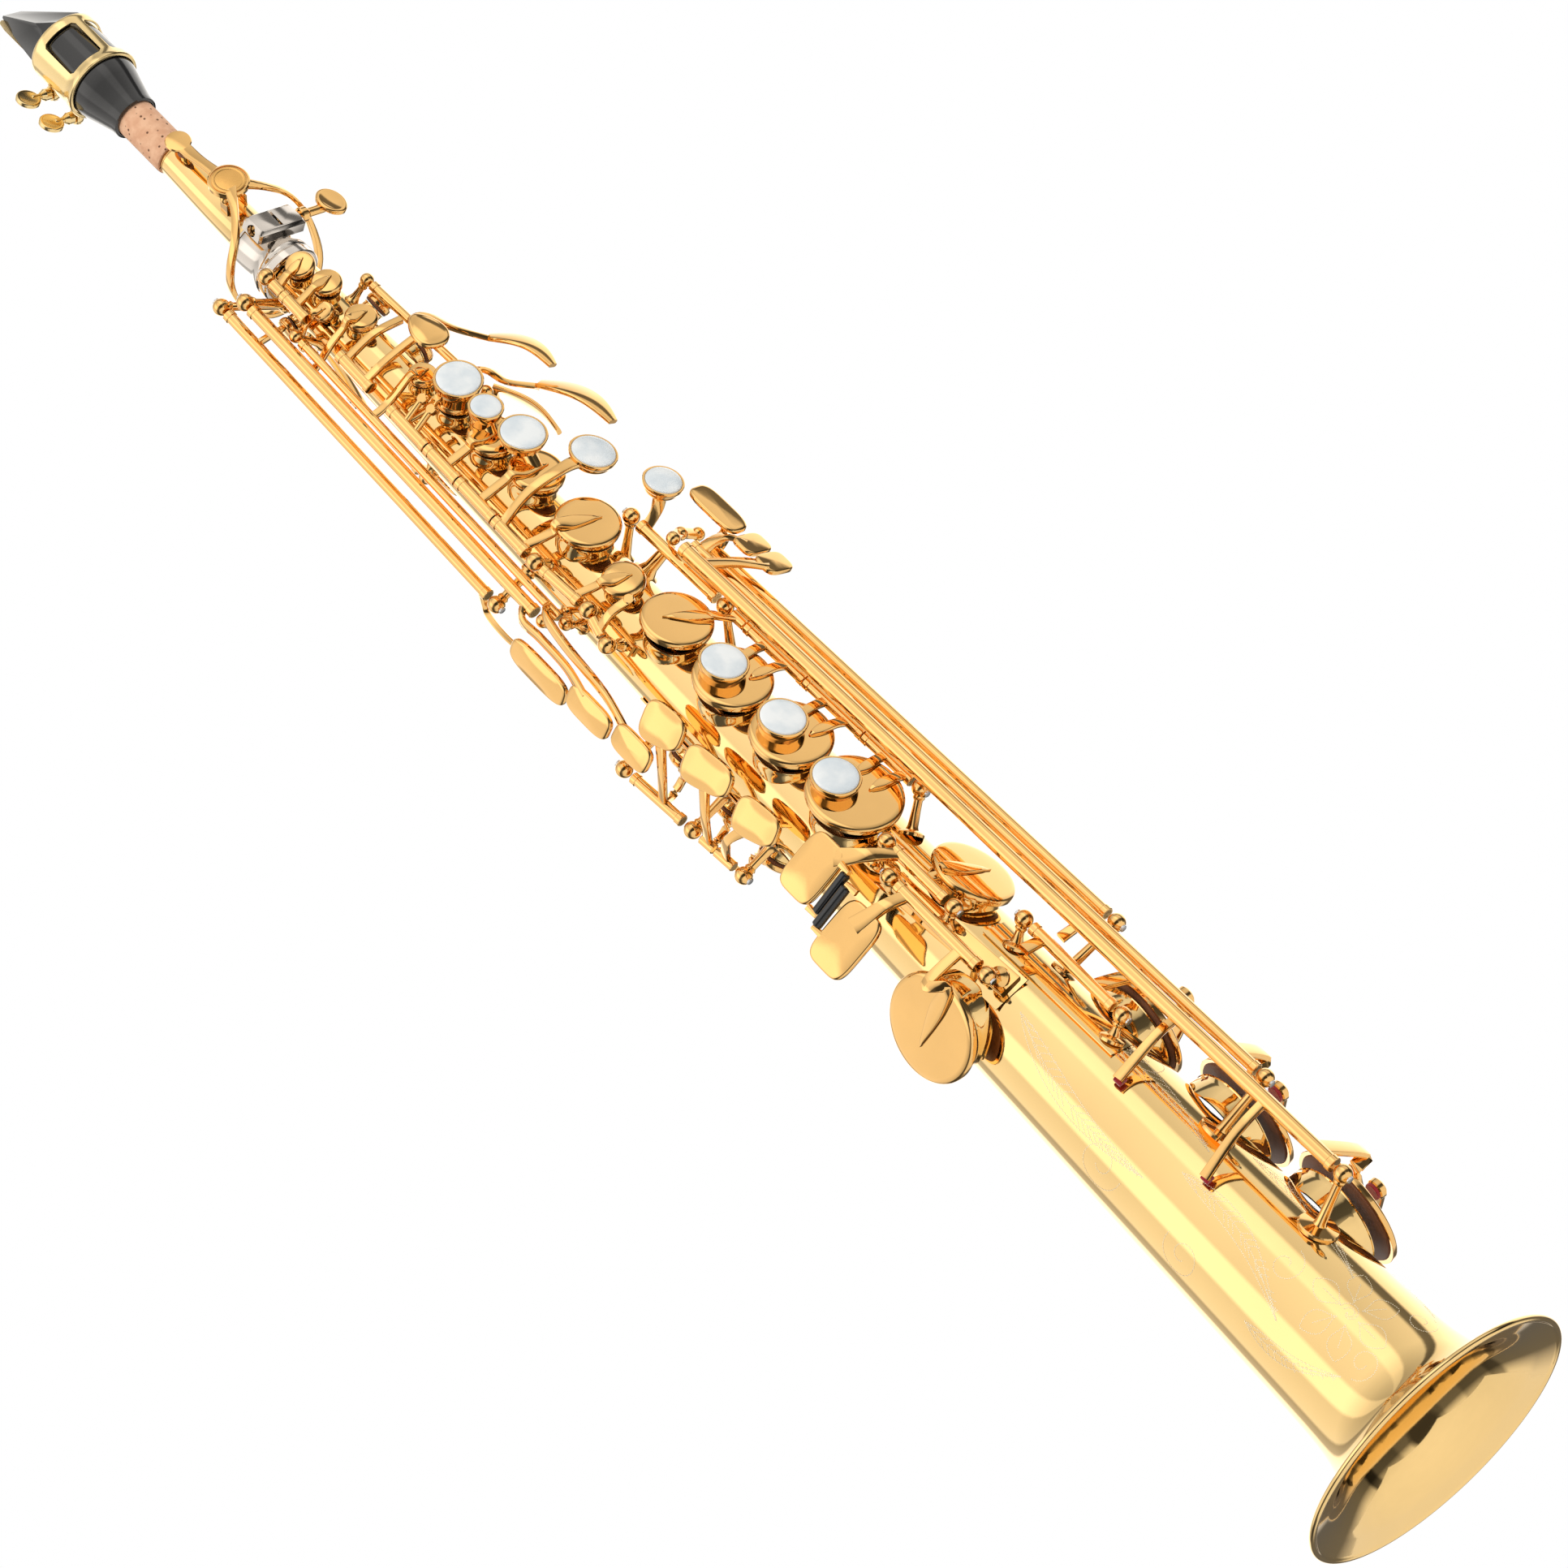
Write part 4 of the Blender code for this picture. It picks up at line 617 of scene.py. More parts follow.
def holder(point, tilt, depth, radius=PEARL_RADIUS):
    """Turned dish for a pearl, flared at the lip."""
    lip = radius + 0.8
    profile = [(0, 0), (lip - 1.7, 0), (lip - 1.1, depth * 0.18), (lip - 1.0, depth * 0.42),
               (lip - 0.3, depth * 0.62),
               (lip, depth - 0.9), (lip, depth - 0.2), (lip - 0.2, depth), (radius + 0.15, depth),
               (radius, depth - 0.2), (radius, depth - 1.2), (0, depth - 1.2)]
    return turned_on(profile, point - outward(tilt) * depth, outward(tilt), 64)


def pearl(point, tilt, radius=PEARL_RADIUS):
    """Button of mother of pearl with a soft dome."""
    profile = [(0, 0.5), (radius - 0.06, 0.5), (radius - 0.06, 1.35), (radius - 0.3, 1.7),
               (radius - 0.8, 1.88),
               (radius * 0.7, 2.0), (radius * 0.4, 2.07), (0, 2.1)]
    return turned_on(profile, point - outward(tilt) * (PEARL_THICKNESS - 0.2), outward(tilt), 64)


def touch_plate(height, angle, reach, width, length, tilt, thick=1.8, power=0.55, spin=0.0, dish=-0.25):
    """Finger plate with round corners and a slight crown."""
    matrix = facing(place(height, angle, reach) - outward(tilt) * thick, outward(tilt))
    matrix = matrix @ Matrix.Rotation(radians(spin), 4, "Z")
    return slab(oval(width, length, 56, power), matrix, thick, 0.7, dish)


def lever_arm(hinge, height, spots, widths, thickness):
    """Bar from a rod out through places given as height, angle and reach."""
    return bar([on_rod(hinge, height)] + [place(*spot) for spot in spots], widths, thickness)


# --- body ---

def make_body():
    """Bell and cone with drilled tone holes, drawn chimneys and soldered posts."""
    levels = [2.2, 3.0, 4.0, 5.2, 6.6, 8.2, 10.0, 12.2, 15.0, 18.5, 23.0, 29.0, 37.0, 47.0] \
        + [60.0 + step * 10.5 for step in range(46)] + [BODY_TOP]
    rim = body_radius(0.0)
    outer = [(body_radius(level), level) for level in levels]
    inner = [(body_radius(level) - WALL, level) for level in levels]
    inner[0] = (inner[0][0] + 0.3, inner[0][1])
    bead = [(rim - 0.1 + RIM_BEAD * cos(radians(turn)), RIM_BEAD + RIM_BEAD * sin(radians(turn)))
            for turn in range(-150, 70, 20)]
    profile = inner[::-1] + [(rim - 1.6, 0.75)] + bead + outer
    shell = lathe(profile, 144, True)
    drills = []
    for hole in HOLES.values():
        inside = place(hole.height, hole.angle, 2.0)
        outside = place(hole.height, hole.angle, seat(hole) + 1)
        drills.append(rod(inside, outside, hole_radius(hole), steps=32, ease=0.05))
    mesh = carved([shell], [], drills)
    finished("body_shell", mesh, BODY_BRASS, "body", ("body_tube",))
    chimneys = []
    for hole in HOLES.values():
        r, high = hole_radius(hole), seat(hole)
        low = body_radius(hole.height)
        base = low - 0.25 * (r * r / low) - 0.4
        profile = [(r, base - low * 0.1), (r + 0.9, base - low * 0.1), (r + 0.9, low),
                   (r + 0.62, low + 0.8),
                   (r + 0.55, high - 0.5), (r + 0.8, high - 0.25), (r + 0.75, high), (r, high)]
        chimneys.append(turned_on(profile + profile[:1], Vector((0, 0, hole.height)),
                                  outward(hole.angle), 48))
    piece("tone_hole_chimneys", chimneys, BODY_BRASS)

    pillars = []
    for end, foot, foot_radius in (
            (G_SHARP.top, (388.0, 84.0), 3.0), (G_SHARP.bottom, (335.0, 60.0), 3.0),
            (RIGHT_STACK.bottom, (246.6, 34.0), 4.2), (B_FLAT.bottom, (66.0, 27.0), 6.6),
            (B_LOW.bottom, (108.2, 26.7), 6.6), (C_SHARP_LEVER.bottom, (181.0, 45.0), 4.6)):
        pillars += post(end, foot, foot_radius=foot_radius)
    for hinge in (PALM, PALM_LOW, OCTAVE):
        for end in (hinge.top, hinge.bottom):
            pillars += post(end, (end.z, angle_of(end)), SMALL_BALL_RADIUS, foot_radius=2.6)
    pillars += post(SIDE_C.top, (537.0, -102.0)) + post(SIDE_E.top, (537.0, -106.0))
    pillars += post(SIDE_B_FLAT.top, (516.5, -100.0), SMALL_BALL_RADIUS, foot_radius=2.4)
    pillars += post(SIDE_E.bottom, (404.5, -98.0))
    pillars += post(SIDE_C.bottom, (384.4, -94.0), SMALL_BALL_RADIUS)
    pillars += post(SIDE_B_FLAT.bottom, (376.0, -84.0), SMALL_BALL_RADIUS)
    for end in (TRILL.top, on_rod(TRILL, 302.5), TRILL.bottom):
        pillars += post(end, (end.z, -108.0))
    for end, foot in ((C_SHARP.top, (195.0, 20.0)), (C_SHARP.bottom, (152.0, 20.0))):
        pillars += post(end, foot, foot_radius=4.4)
    ends = [hinge.top + (hinge.top - hinge.bottom).normalized() * 2.0
            for hinge in (B_FLAT, B_LOW, C_SHARP_LEVER)]
    foot = place(378.0, 70.0, body_radius(378.0) - 0.3)
    pillars += [turned_on([(0, 0), (4.6, 0), (4.6, 0.7), (3.4, 1.4), (2.3, 4.0), (1.7, 14.0), (0, 14.4)],
                          foot, ends[1] - foot, 32), bar(ends, [3.4] * 3, 2.2)]
    pillars += [ball(end, SMALL_BALL_RADIUS) for end in ends]
    piece("soldered_posts", pillars, KEY_BRASS)

    heads = []
    for hinge, top, bottom in ((G_SHARP, 1, 0), (RIGHT_STACK, 0, 1), (B_FLAT, 0, 1), (B_LOW, 0, 1),
                               (SIDE_C, 1, 1),
                               (SIDE_E, 1, 1), (C_SHARP_LEVER, 0, 1), (TRILL, 1, 1), (C_SHARP, 1, 1),
                               (LEFT_STACK, 1, 0), (E_FLAT, 1, 1), (LOW_C, 1, 1)):
        if top:
            heads += rod_end(hinge)
        if bottom:
            heads += rod_end(hinge, False, SMALL_BALL_RADIUS if hinge is SIDE_C else BALL_RADIUS)
    piece("rod_screw_heads", heads, STEEL)

    plates = [rib(204.0, 147.0, 17.5, 17.5, 9.0, 0.55), rib(193.5, 182.0, -18.0, -17.0, 13.0, 0.5),
              rib(345.0, 277.0, -108.0, -108.0, 7.0, 0.6)]
    piece("post_plates", plates, BODY_BRASS)


def rib(top, bottom, angle_top, angle_bottom, width, thick, gap=0.0):
    """Strip that follows the body's outside."""
    points = []
    for step in range(7):
        share = step / 6
        height = top + (bottom - top) * share
        angle = angle_top + (angle_bottom - angle_top) * share
        points.append(place(height, angle, body_radius(height) + gap + thick * 0.35))
    return bar(points, [width] * 7, thick, steps=2, round_off=0.3)


def make_ribs():
    """Ribs that carry the left-hand stack and the low keys."""
    proud = -1.9
    left = [rib(541.5, 354.0, -60.0, -50.0, 4.0, 1.6, 0.5)]
    left += post(LEFT_STACK.top, (539.0, -60.0), sink=proud, foot_radius=2.2)
    left += post(LINK_LOWER.top, (371.2, -46.0), sink=proud, foot_radius=2.2)
    left += post(LINK_LOWER.bottom, (357.8, -51.0), sink=proud, foot_radius=2.2)
    left += post(LEFT_STACK.bottom, (396.2, -50.0), sink=proud, foot_radius=2.2)
    piece("left_rib_metal", left, KEY_BRASS, "body", ("left_stack_rib",))
    low = [rib(249.0, 184.0, -24.0, -13.0, 8.0, 1.6, 0.5)]
    for end, foot in ((E_FLAT.top, (243.6, -20.0)), (E_FLAT.bottom, (212.6, -15.0)),
                      (LOW_C.top, (233.5, -22.0)), (LOW_C.bottom, (188.3, -15.0))):
        low += post(end, foot, sink=proud, foot_radius=3.4)
    piece("low_rib_metal", low, KEY_BRASS, "body", ("low_key_rib",))


# --- engraving: generic scrolls, leaves and a flower, each stroke a run of small cuts ---

CUT_PROUD = 0.05


def cut_run(path, size=0.75, width=0.26, tilt=35.0):
    """Small slanting cuts along (height, angle) points on the bell."""
    scaled = [Vector((height, radians(angle) * body_radius(height), 0.0)) for height, angle in path]
    quads, faces, travelled, flip = [], [], 0.0, 1
    for index in range(len(scaled) - 1):
        start, end = scaled[index], scaled[index + 1]
        step = end - start
        length = step.length
        if length < 1e-6:
            continue
        along = step.normalized()
        while travelled < length:
            spot = start + along * travelled
            turn = Matrix.Rotation(radians(tilt * flip), 3, "Z")
            run = turn @ along * size / 2
            side = Vector((-run.y, run.x, 0.0)).normalized() * width / 2
            corners = [spot - run - side * 0.5, spot + side, spot + run + side * 0.5, spot - side]
            base = len(quads)
            for corner in corners:
                radius = body_radius(corner.x)
                quads.append(place(corner.x, degrees(corner.y / radius), radius + CUT_PROUD))
            faces.append([base, base + 1, base + 2, base + 3])
            travelled += size * 0.92
            flip = -flip
        travelled -= length
    return quads, faces


def feather(root, tip, bend, barbs, spread):
    """Feathered leaf: a bowed stem, its outline and fine barbs."""
    stem = []
    for step in range(25):
        share = step / 24
        bow = bend * sin(pi * share)
        stem.append((root[0] + (tip[0] - root[0]) * share, root[1] + (tip[1] - root[1]) * share + bow))
    strokes = [stem]
    for side in (-1, 1):
        edge = []
        for step in range(25):
            share = step / 24
            swell = spread * side * sin(pi * share ** 0.8) * (1 - 0.25 * share)
            edge.append((stem[step][0], stem[step][1] + swell))
        strokes.append(edge)
        for barb in range(1, barbs):
            share = barb / barbs
            at = int(share * 24)
            swell = spread * side * sin(pi * share ** 0.8) * (1 - 0.25 * share) * 0.86
            ahead = (tip[0] - root[0]) * 0.055
            strokes.append([(stem[at][0] + ahead * part, stem[at][1] + swell * part ** 0.8)
                            for part in (0.12, 0.4, 0.7, 1.0)])
    return strokes


def curl(centre, radius, turns, start, sense=1):
    """Spiral scroll."""
    steps = int(26 * turns)
    path = []
    for step in range(steps + 1):
        share = step / steps
        turn = radians(start) + sense * 2 * pi * turns * share
        reach = radius * (1.0 - 0.82 * share)
        height = centre[0] + reach * cos(turn)
        path.append((height, centre[1] + degrees(reach * sin(turn) / body_radius(height))))
    return path


def flower(centre, radius, petals):
    """Open flower seen from the front."""
    strokes = [curl(centre, radius * 0.24, 1.0, 0.0), curl(centre, radius * 0.14, 1.0, 0.0)]
    for petal in range(petals):
        mid = 2 * pi * petal / petals
        for side in (-1, 1):
            path = []
            for step in range(13):
                share = step / 12
                turn = mid + side * 0.42 * sin(pi * share) * (1 - 0.2 * share)
                reach = radius * (0.26 + 0.74 * share)
                height = centre[0] + reach * cos(turn)
                path.append((height, centre[1] + degrees(reach * sin(turn) / body_radius(height))))
            strokes.append(path)
        strokes.append([(centre[0] + radius * part * cos(mid),
                         centre[1] + degrees(radius * part * sin(mid) / body_radius(centre[0])))
                        for part in (0.3, 0.5, 0.72)])
    return strokes


def make_engraving():
    """Bell engraving of feathered leaves, scrolls and a flower."""
    strokes = feather((176.0, -22.0), (112.0, -44.0), -13.0, 22, 10.0)
    strokes += feather((172.0, 8.0), (104.0, 6.0), 12.0, 22, 9.0)
    strokes += feather((104.0, -20.0), (52.0, -46.0), 12.0, 18, 8.0)
    strokes += feather((96.0, 34.0), (46.0, 14.0), 10.0, 16, 7.0)
    strokes += feather((60.0, -64.0), (26.0, -40.0), -9.0, 13, 6.0)
    strokes += feather((58.0, 62.0), (24.0, 44.0), 9.0, 13, 6.0)
    strokes += flower((38.0, -7.0), 15.0, 6)
    scrolls = (((126.0, -62.0), 9.0, 1.4, 180.0, 1), ((140.0, 34.0), 7.0, 1.3, 0.0, -1),
               ((88.0, -66.0), 8.0, 1.4, 20.0, -1), ((80.0, 52.0), 7.0, 1.3, 200.0, 1),
               ((62.0, -14.0), 6.0, 1.2, 90.0, 1), ((24.0, -24.0), 5.5, 1.3, 260.0, -1),
               ((24.0, 28.0), 5.5, 1.3, 100.0, 1), ((188.0, -50.0), 6.5, 1.3, 30.0, 1))
    strokes += [curl(*scroll) for scroll in scrolls]
    shells = [cut_run(stroke) for stroke in strokes]
    shells = [shell for shell in shells if shell[1]]
    piece("bell_engraving", shells, CUT_BRASS)


# --- fittings ---

def make_fittings():
    """Guards, thumb hook, strap ring and thumb rest."""
    felts = []
    for name in ("low_c_sharp", "low_b", "low_b_flat"):
        hole = HOLES[name]
        base = body_radius(hole.height) + CLEARANCE
        foot = place(hole.height, GUARD_SIDE, base + 0.6)
        path = [foot + outward(GUARD_SIDE) * 0.7, place(hole.height, 146.0, 37.0),
                place(hole.height, 128.0, 44.5),
                place(hole.height, 108.0, 45.0), place(hole.height, BELL_KEY_SIDE, 43.5)]
        bumper = place(hole.height, BELL_KEY_SIDE, 41.0)
        shells = [bar(path, [9.0, 5.6, 4.6, 4.6, 6.0], 1.5),
                  turned_on([(0, -0.5), (6.0, -0.5), (6.0, 0.7), (5.4, 1.1), (0, 1.2)], foot,
                            outward(GUARD_SIDE), 40),
                  turned_on([(0, 1.0), (2.9, 1.0), (3.3, 1.4), (3.3, 3.0), (2.9, 3.5), (1.2, 4.4),
                             (0, 4.6)],
                            bumper, outward(BELL_KEY_SIDE), 32)]
        piece(name + "_guard_metal", shells, KEY_BRASS, "body", (name + "_guard",))
        felts.append(turned_on([(0, 0), (2.6, 0), (2.8, 0.2), (2.8, 1.1), (0, 1.1)], bumper,
                               outward(BELL_KEY_SIDE), 28))
    piece("guard_felts", felts, FELT)

    base = place(318.0, THUMB_SIDE, body_radius(318.0) + CLEARANCE + 1.8)
    hook = [block(base - Vector((0, 0.9, 0)), Vector((0, 1, 0)), (10.0, 24.0, 1.6)),
            bar([base + Vector((0, 0.2, 4)), base + Vector((0, 9, 5)), base + Vector((0, 15, 1)),
                 base + Vector((0, 16.5, -7))], [8, 9, 11, 9], 2.2, Vector((0, 0.3, 1)))]
    piece("thumb_hook_metal", hook, KEY_BRASS, "body", ("thumb_hook",))
    screws = [turned_on([(0, 0), (1.8, 0), (1.8, 0.6), (1.4, 0.9), (0, 1.0)], base + Vector((0, 0.7, at)),
                        Vector((0, 1, 0)), 24) for at in (-8.0, 9.5)]
    piece("thumb_hook_screws", screws, STEEL)

    base = place(372.0, THUMB_SIDE, body_radius(372.0) + CLEARANCE + 1.3)
    shells = [ring(base + Vector((0, 5.2, 0)), Vector((1, 0, 0)), 4.5, 1.15),
              block(base - Vector((0, 0.8, 0)), Vector((0, 1, 0)), (9.0, 16.0, 1.6))]
    piece("strap_ring_metal", shells, KEY_BRASS, "body", ("strap_ring",))

    base = place(440.0, THUMB_SIDE, body_radius(440.0) + CLEARANCE + 0.2)
    rest = turned_on([(0, 0), (6.5, 0), (6.8, 0.5), (6.8, 1.9), (6.4, 2.7), (5.6, 3.1), (3.0, 3.35),
                      (0, 3.4)],
                     base, outward(THUMB_SIDE), 48)
    piece("thumb_rest_pad", [rest], EBONITE, "body", ("thumb_rest",))


# --- neck and mouthpiece ---

def make_neck():
    """Receiver with its clamp, neck tube, cork and neck screw."""
    low, top = BODY_TOP + CLEARANCE, RECEIVER_TOP
    socket = lathe([(7.35, low), (10.2, low), (10.7, low + 0.5), (10.8, 546.4), (10.4, 546.9),
                    (10.3, 547.6),
                    (10.75, 548.1), (10.7, 549.3), (9.9, 551.0), (9.6, 552.4), (9.35, 561.6),
                    (9.6, 562.0),
                    (9.5, top - 0.2), (9.3, top), (7.35, top)], 96, True)
    front = 18.0
    side = outward(front + 90.0)
    centre = place(557.0, front, 11.6)
    clamp = block(place(557.0, front, 8.6), outward(front), (19.0, 10.0, 5.4), ease=1.0)
    slit = block(place(559.5, front, 7.8), outward(front), (1.0, 12.0, 8.0), ease=0.1)
    drill = rod(centre - side * 20, centre + side * 20, 2.0)
    mesh = carved([socket], [clamp], [slit, drill], 0.18)
    finished("receiver_metal", mesh, NICKEL, "body", ("neck_receiver",))

    paddle = centre + side * 20.5
    shells = [rod(centre - side * 8.0, paddle, 1.6),
              turned_on([(0, 0), (2.2, 0), (2.6, 0.4), (2.6, 2.4), (2.1, 2.8), (1.6, 3.6), (0, 3.6)],
                        centre + side * 10.2, side, 32),
              slab(oval(9.5, 12.0, 48), facing(paddle - Vector((0, 0.9, 0)) + side * 3.0,
                                               Vector((0.3, -1, 0))),
                   1.8, 0.7, 0.5)]
    piece("neck_screw_metal", shells, KEY_BRASS, "neck_screw", ("neck_screw",))

    outer = [(6.95, 546.0), (6.95, top + CLEARANCE), (8.1, top + CLEARANCE), (8.3, top + 0.6),
             (8.3, 565.0),
             (8.1, 565.5), (7.6, 566.0), (7.3, 567.0), (6.72, 582.0), (6.3, 594.0), (5.95, 605.6),
             (5.9, 606.2),
             (5.5, 606.2), (5.5, NECK_TOP - 0.3), (5.2, NECK_TOP), (4.4, NECK_TOP), (5.2, 595.0),
             (6.1, 546.0)]
    neck = lathe(outer, 96, True)
    pip = rod(place(600.0, -2.0, 4.9), place(600.0, -2.0, 8.4), 1.5)
    drill = rod(place(600.0, -2.0, 2.0), place(600.0, -2.0, 9.0), 0.7, ease=0.05)
    ears = [block(place(574.0, 0.0, 5.4) + Vector((sign * 3.4, 0, 0)), outward(0.0), (1.2, 4.0, 5.4),
                  ease=0.25)
            for sign in (-1, 1)]
    mesh = carved([neck], [pip], [drill])
    finished("neck_metal", mesh, BODY_BRASS, "neck", ("neck_tube",))
    trims = ears + [ring(Vector((0, 0, 605.8)), UP, 5.75, 0.35, 64)]
    for sign in (-1, 1):
        trims.append(ball(place(574.0, 0.0, 12.2) + Vector((sign * 3.5, 0, 0)), 1.5))
    piece("neck_trim", trims, KEY_BRASS, "neck")

    cork = lathe([(5.6, CORK_BOTTOM), (6.45, CORK_BOTTOM), (6.7, CORK_BOTTOM + 0.4),
                  (6.8, CORK_BOTTOM + 1.4),
                  (6.8, NECK_TOP - 1), (6.55, NECK_TOP - 0.2), (6.2, NECK_TOP),
                  (5.6, NECK_TOP)], 96, True)
    piece("cork_sleeve", [cork], CORK, "neck", ("neck_cork",))


def make_neck_octave_key():
    """Neck octave key: pad spoon, round plate and the loop around the receiver."""
    pivot = place(574.0, 0.0, 12.2)
    spoon = [place(606.5, 0.0, 10.5), place(600.0, 0.0, 10.4), place(590.0, 0.0, 12.6),
             place(577.0, 2.0, 15.2)]
    left = [place(577.0, 2.0, 15.2), place(566.0, -18.0, 17.0), place(557.5, -38.0, 18.3),
            place(553.5, -64.0, 18.2), place(551.8, -90.0, 17.8), place(550.5, -122.0, 17.6),
            place(547.0, -155.0, 18.2), place(546.5, 180.0, 18.6)]
    right = [place(577.0, 2.0, 15.2), place(569.0, 34.0, 16.8), place(565.0, 62.0, 18.0),
             place(559.0, 92.0, 18.6),
             place(551.0, 122.0, 19.0), place(546.8, 155.0, 19.2), place(546.5, 182.0, 19.2)]
    shells = [bar(spoon, [4.4, 4.6, 3.6, 5.0], 1.5),
              turned_on([(0, -0.6), (3.6, -0.6), (4.3, 0), (4.4, 0.5), (4.1, 0.95), (3.0, 1.15),
                         (0, 1.2)],
                        place(604.0, 0.0, 10.2), outward(0.0), 48), bar(left, [5.0] + [2.6] * 7, 1.8),
              bar(right, [5.0] + [2.6] * 6, 1.8),
              rod(pivot - Vector((2.3, 0, 0)), pivot + Vector((2.3, 0, 0)), 1.6),
              block(pivot, outward(0.0), (3.4, 3.4, 3.2)),
              turned_on([(0, 0), (6.6, 0), (6.9, 0.3), (6.9, 1.5), (6.5, 1.9), (6.1, 1.9), (6.0, 1.6),
                         (0, 1.6)],
                        place(577.0, 2.0, 14.4), outward(2.0), 64)]
    piece("neck_octave_metal", shells, KEY_BRASS, "neck_octave_key", ("neck_octave_key",))
    disc = turned_on([(0, 1.5), (5.7, 1.5), (5.7, 1.9), (5.2, 2.15), (4.7, 2.1), (4.4, 1.95),
                      (2.6, 2.2), (0, 2.3)],
                     place(577.0, 2.0, 14.4), outward(2.0), 64)
    piece("neck_octave_disc", [disc], MEDAL, "neck_octave_key")
    pip_pad = rod(place(600.0, -2.0, 8.8), place(600.0, -2.0, 10.2), 2.4)
    piece("neck_octave_pad", [pip_pad], LEATHER, "neck_octave_key")


def on_mouthpiece(shell):
    """Turn a shell about the bore by the way the mouthpiece sits on its cork."""
    return moved(shell, Matrix.Rotation(radians(MOUTHPIECE_TURN), 4, "Z"))


def make_mouthpiece():
    """Mouthpiece with its beak, bore and window, its reed and its ligature."""
    table = 8.4
    low = MOUTHPIECE_BOTTOM
    outer = [(0, low), (7.6, low), (8.1, low + 0.3), (8.25, low + 1.0), (8.3, 630.0), (8.9, 633.0),
             (9.8, 636.6),
             (10.8, 640.2), (11.7, 643.6), (12.0, 646.5), (11.9, 652.0), (11.4, 669.5), (10.7, 676.0),
             (9.6, 686.0), (8.6, MOUTHPIECE_TOP), (0, MOUTHPIECE_TOP)]
    bore = lathe([(0, 620.0), (7.15, 620.0), (7.15, 647.0), (5.2, 650.0), (5.0, 668.0), (0, 668.0)], 64)
    back = block(Vector((0, table, 672.0)), Vector((0, 1, 0)), (30, 48.0, 20), ease=0.05)
    tip = Vector((0, table - 1.6, MOUTHPIECE_TOP))
    slope = Vector((0, -11.8, 667.0)) - tip
    normal = Vector((0, -1, 0)) - slope.normalized() * slope.normalized().dot(Vector((0, -1, 0)))
    beak = block(tip + slope * 0.5, normal.normalized(), (40, 60, 30), -slope.normalized(), 0.05)
    window = block(Vector((0, 2.0, 673.0)), Vector((0, 1, 0)), (9.0, 30.0, 10.0), ease=0.3)
    sides = [block(Vector((sign * 6.6, 0, MOUTHPIECE_TOP - 11.5)), Vector((sign * 1.0, 0, 0.24)),
                   (30, 40, 10), ease=0.05) for sign in (-1, 1)]
    mesh = carved([on_mouthpiece(lathe(outer, 96))], [],
                  [on_mouthpiece(cutter) for cutter in [bore, back, beak, window] + sides], 0.35)
    finished("mouthpiece_ebonite", mesh, EBONITE, "mouthpiece", ("mouthpiece",))

    face = table + 0.2
    loops = []
    for height, half, thick in ((649.0, 5.6, 2.3), (655.0, 5.8, 2.3), (662.0, 5.9, 2.3),
                                (668.0, 6.0, 2.1),
                                (674.0, 6.1, 1.6), (682.0, 6.2, 1.0), (690.0, 6.3, 0.55),
                                (694.0, 5.6, 0.3),
                                (694.9, 4.2, 0.25)):
        across = [-1 + 0.2 * step for step in range(11)]
        over = [Vector((half * x, face + 0.1 + (thick - 0.1) * (1 - abs(x) ** 2.4) ** 0.5,
                        height)) for x in across]
        loops.append([Vector((-half, face, height)), Vector((half, face, height))] + over[::-1])
    piece("reed_cane", [on_mouthpiece(loft(loops))], CANE, "mouthpiece", ("reed",))

    low, high = 645.8, 668.6
    band = lathe([(12.3, low), (13.1, low + 0.1), (13.4, low + 0.5), (13.4, low + 1.7), (13.1, low + 2.2),
                  (13.0, 650.4), (12.8, high - 2.2), (12.95, high - 1.8), (12.95, high - 0.5),
                  (12.65, high),
                  (12.05, high)], 112, True)
    cutters = [block(place(657.2, angle, 5.0), outward(angle), (13.0, 15.8, 12.0), ease=1.2)
               for angle in (-38.0, 38.0)]
    gap = block(Vector((0, 5.0, 657.0)), Vector((0, 1, 0)), (4.4, 30.0, 12.0), ease=0.1)
    mesh = carved([on_mouthpiece(band)], [], [on_mouthpiece(cutter) for cutter in cutters + [gap]], 0.15)
    finished("ligature_band", mesh, GILT, "mouthpiece", ("ligature",))
    lugs = []
    for height in LIGATURE_SCREWS:
        for sign in (-1, 1):
            lugs.append(block(Vector((sign * 3.6, 11.9, height)), Vector((0, 1, 0)), (2.2, 4.6, 5.6),
                              ease=0.5))
            lugs.append(turned_on([(1.4, 0), (2.4, 0), (2.6, 0.3), (2.6, 2.2), (2.4, 2.5), (1.4, 2.5)],
                                  Vector((sign * 3.6 - 1.25, LUG_REACH, height)), Vector((1, 0, 0)), 32))
    piece("ligature_lugs", [on_mouthpiece(lug) for lug in lugs], GILT, "mouthpiece")
    for name, height in zip(("ligature_screw_lower", "ligature_screw_upper"), LIGATURE_SCREWS):
        centre = Vector((0, LUG_REACH, height))
        back_way = Vector((-1, 0, 0))
        shells = [rod(centre - back_way * 5.5, centre + back_way * 12.5, 1.0),
                  turned_on([(0, 0), (1.7, 0), (2.05, 0.3), (2.05, 2.3), (1.7, 2.8), (1.2, 3.8),
                             (0, 3.8)],
                            centre + back_way * 5.2, back_way, 32),
                  slab(oval(8.5, 8.5, 48), facing(centre + Vector((-14.0, 0.8, 0)), Vector((0, -1, 0))),
                       1.6, 0.6, 0.45)]
        piece(name + "_metal", [on_mouthpiece(shell) for shell in shells], GILT, name, (name,))


# --- keywork ---

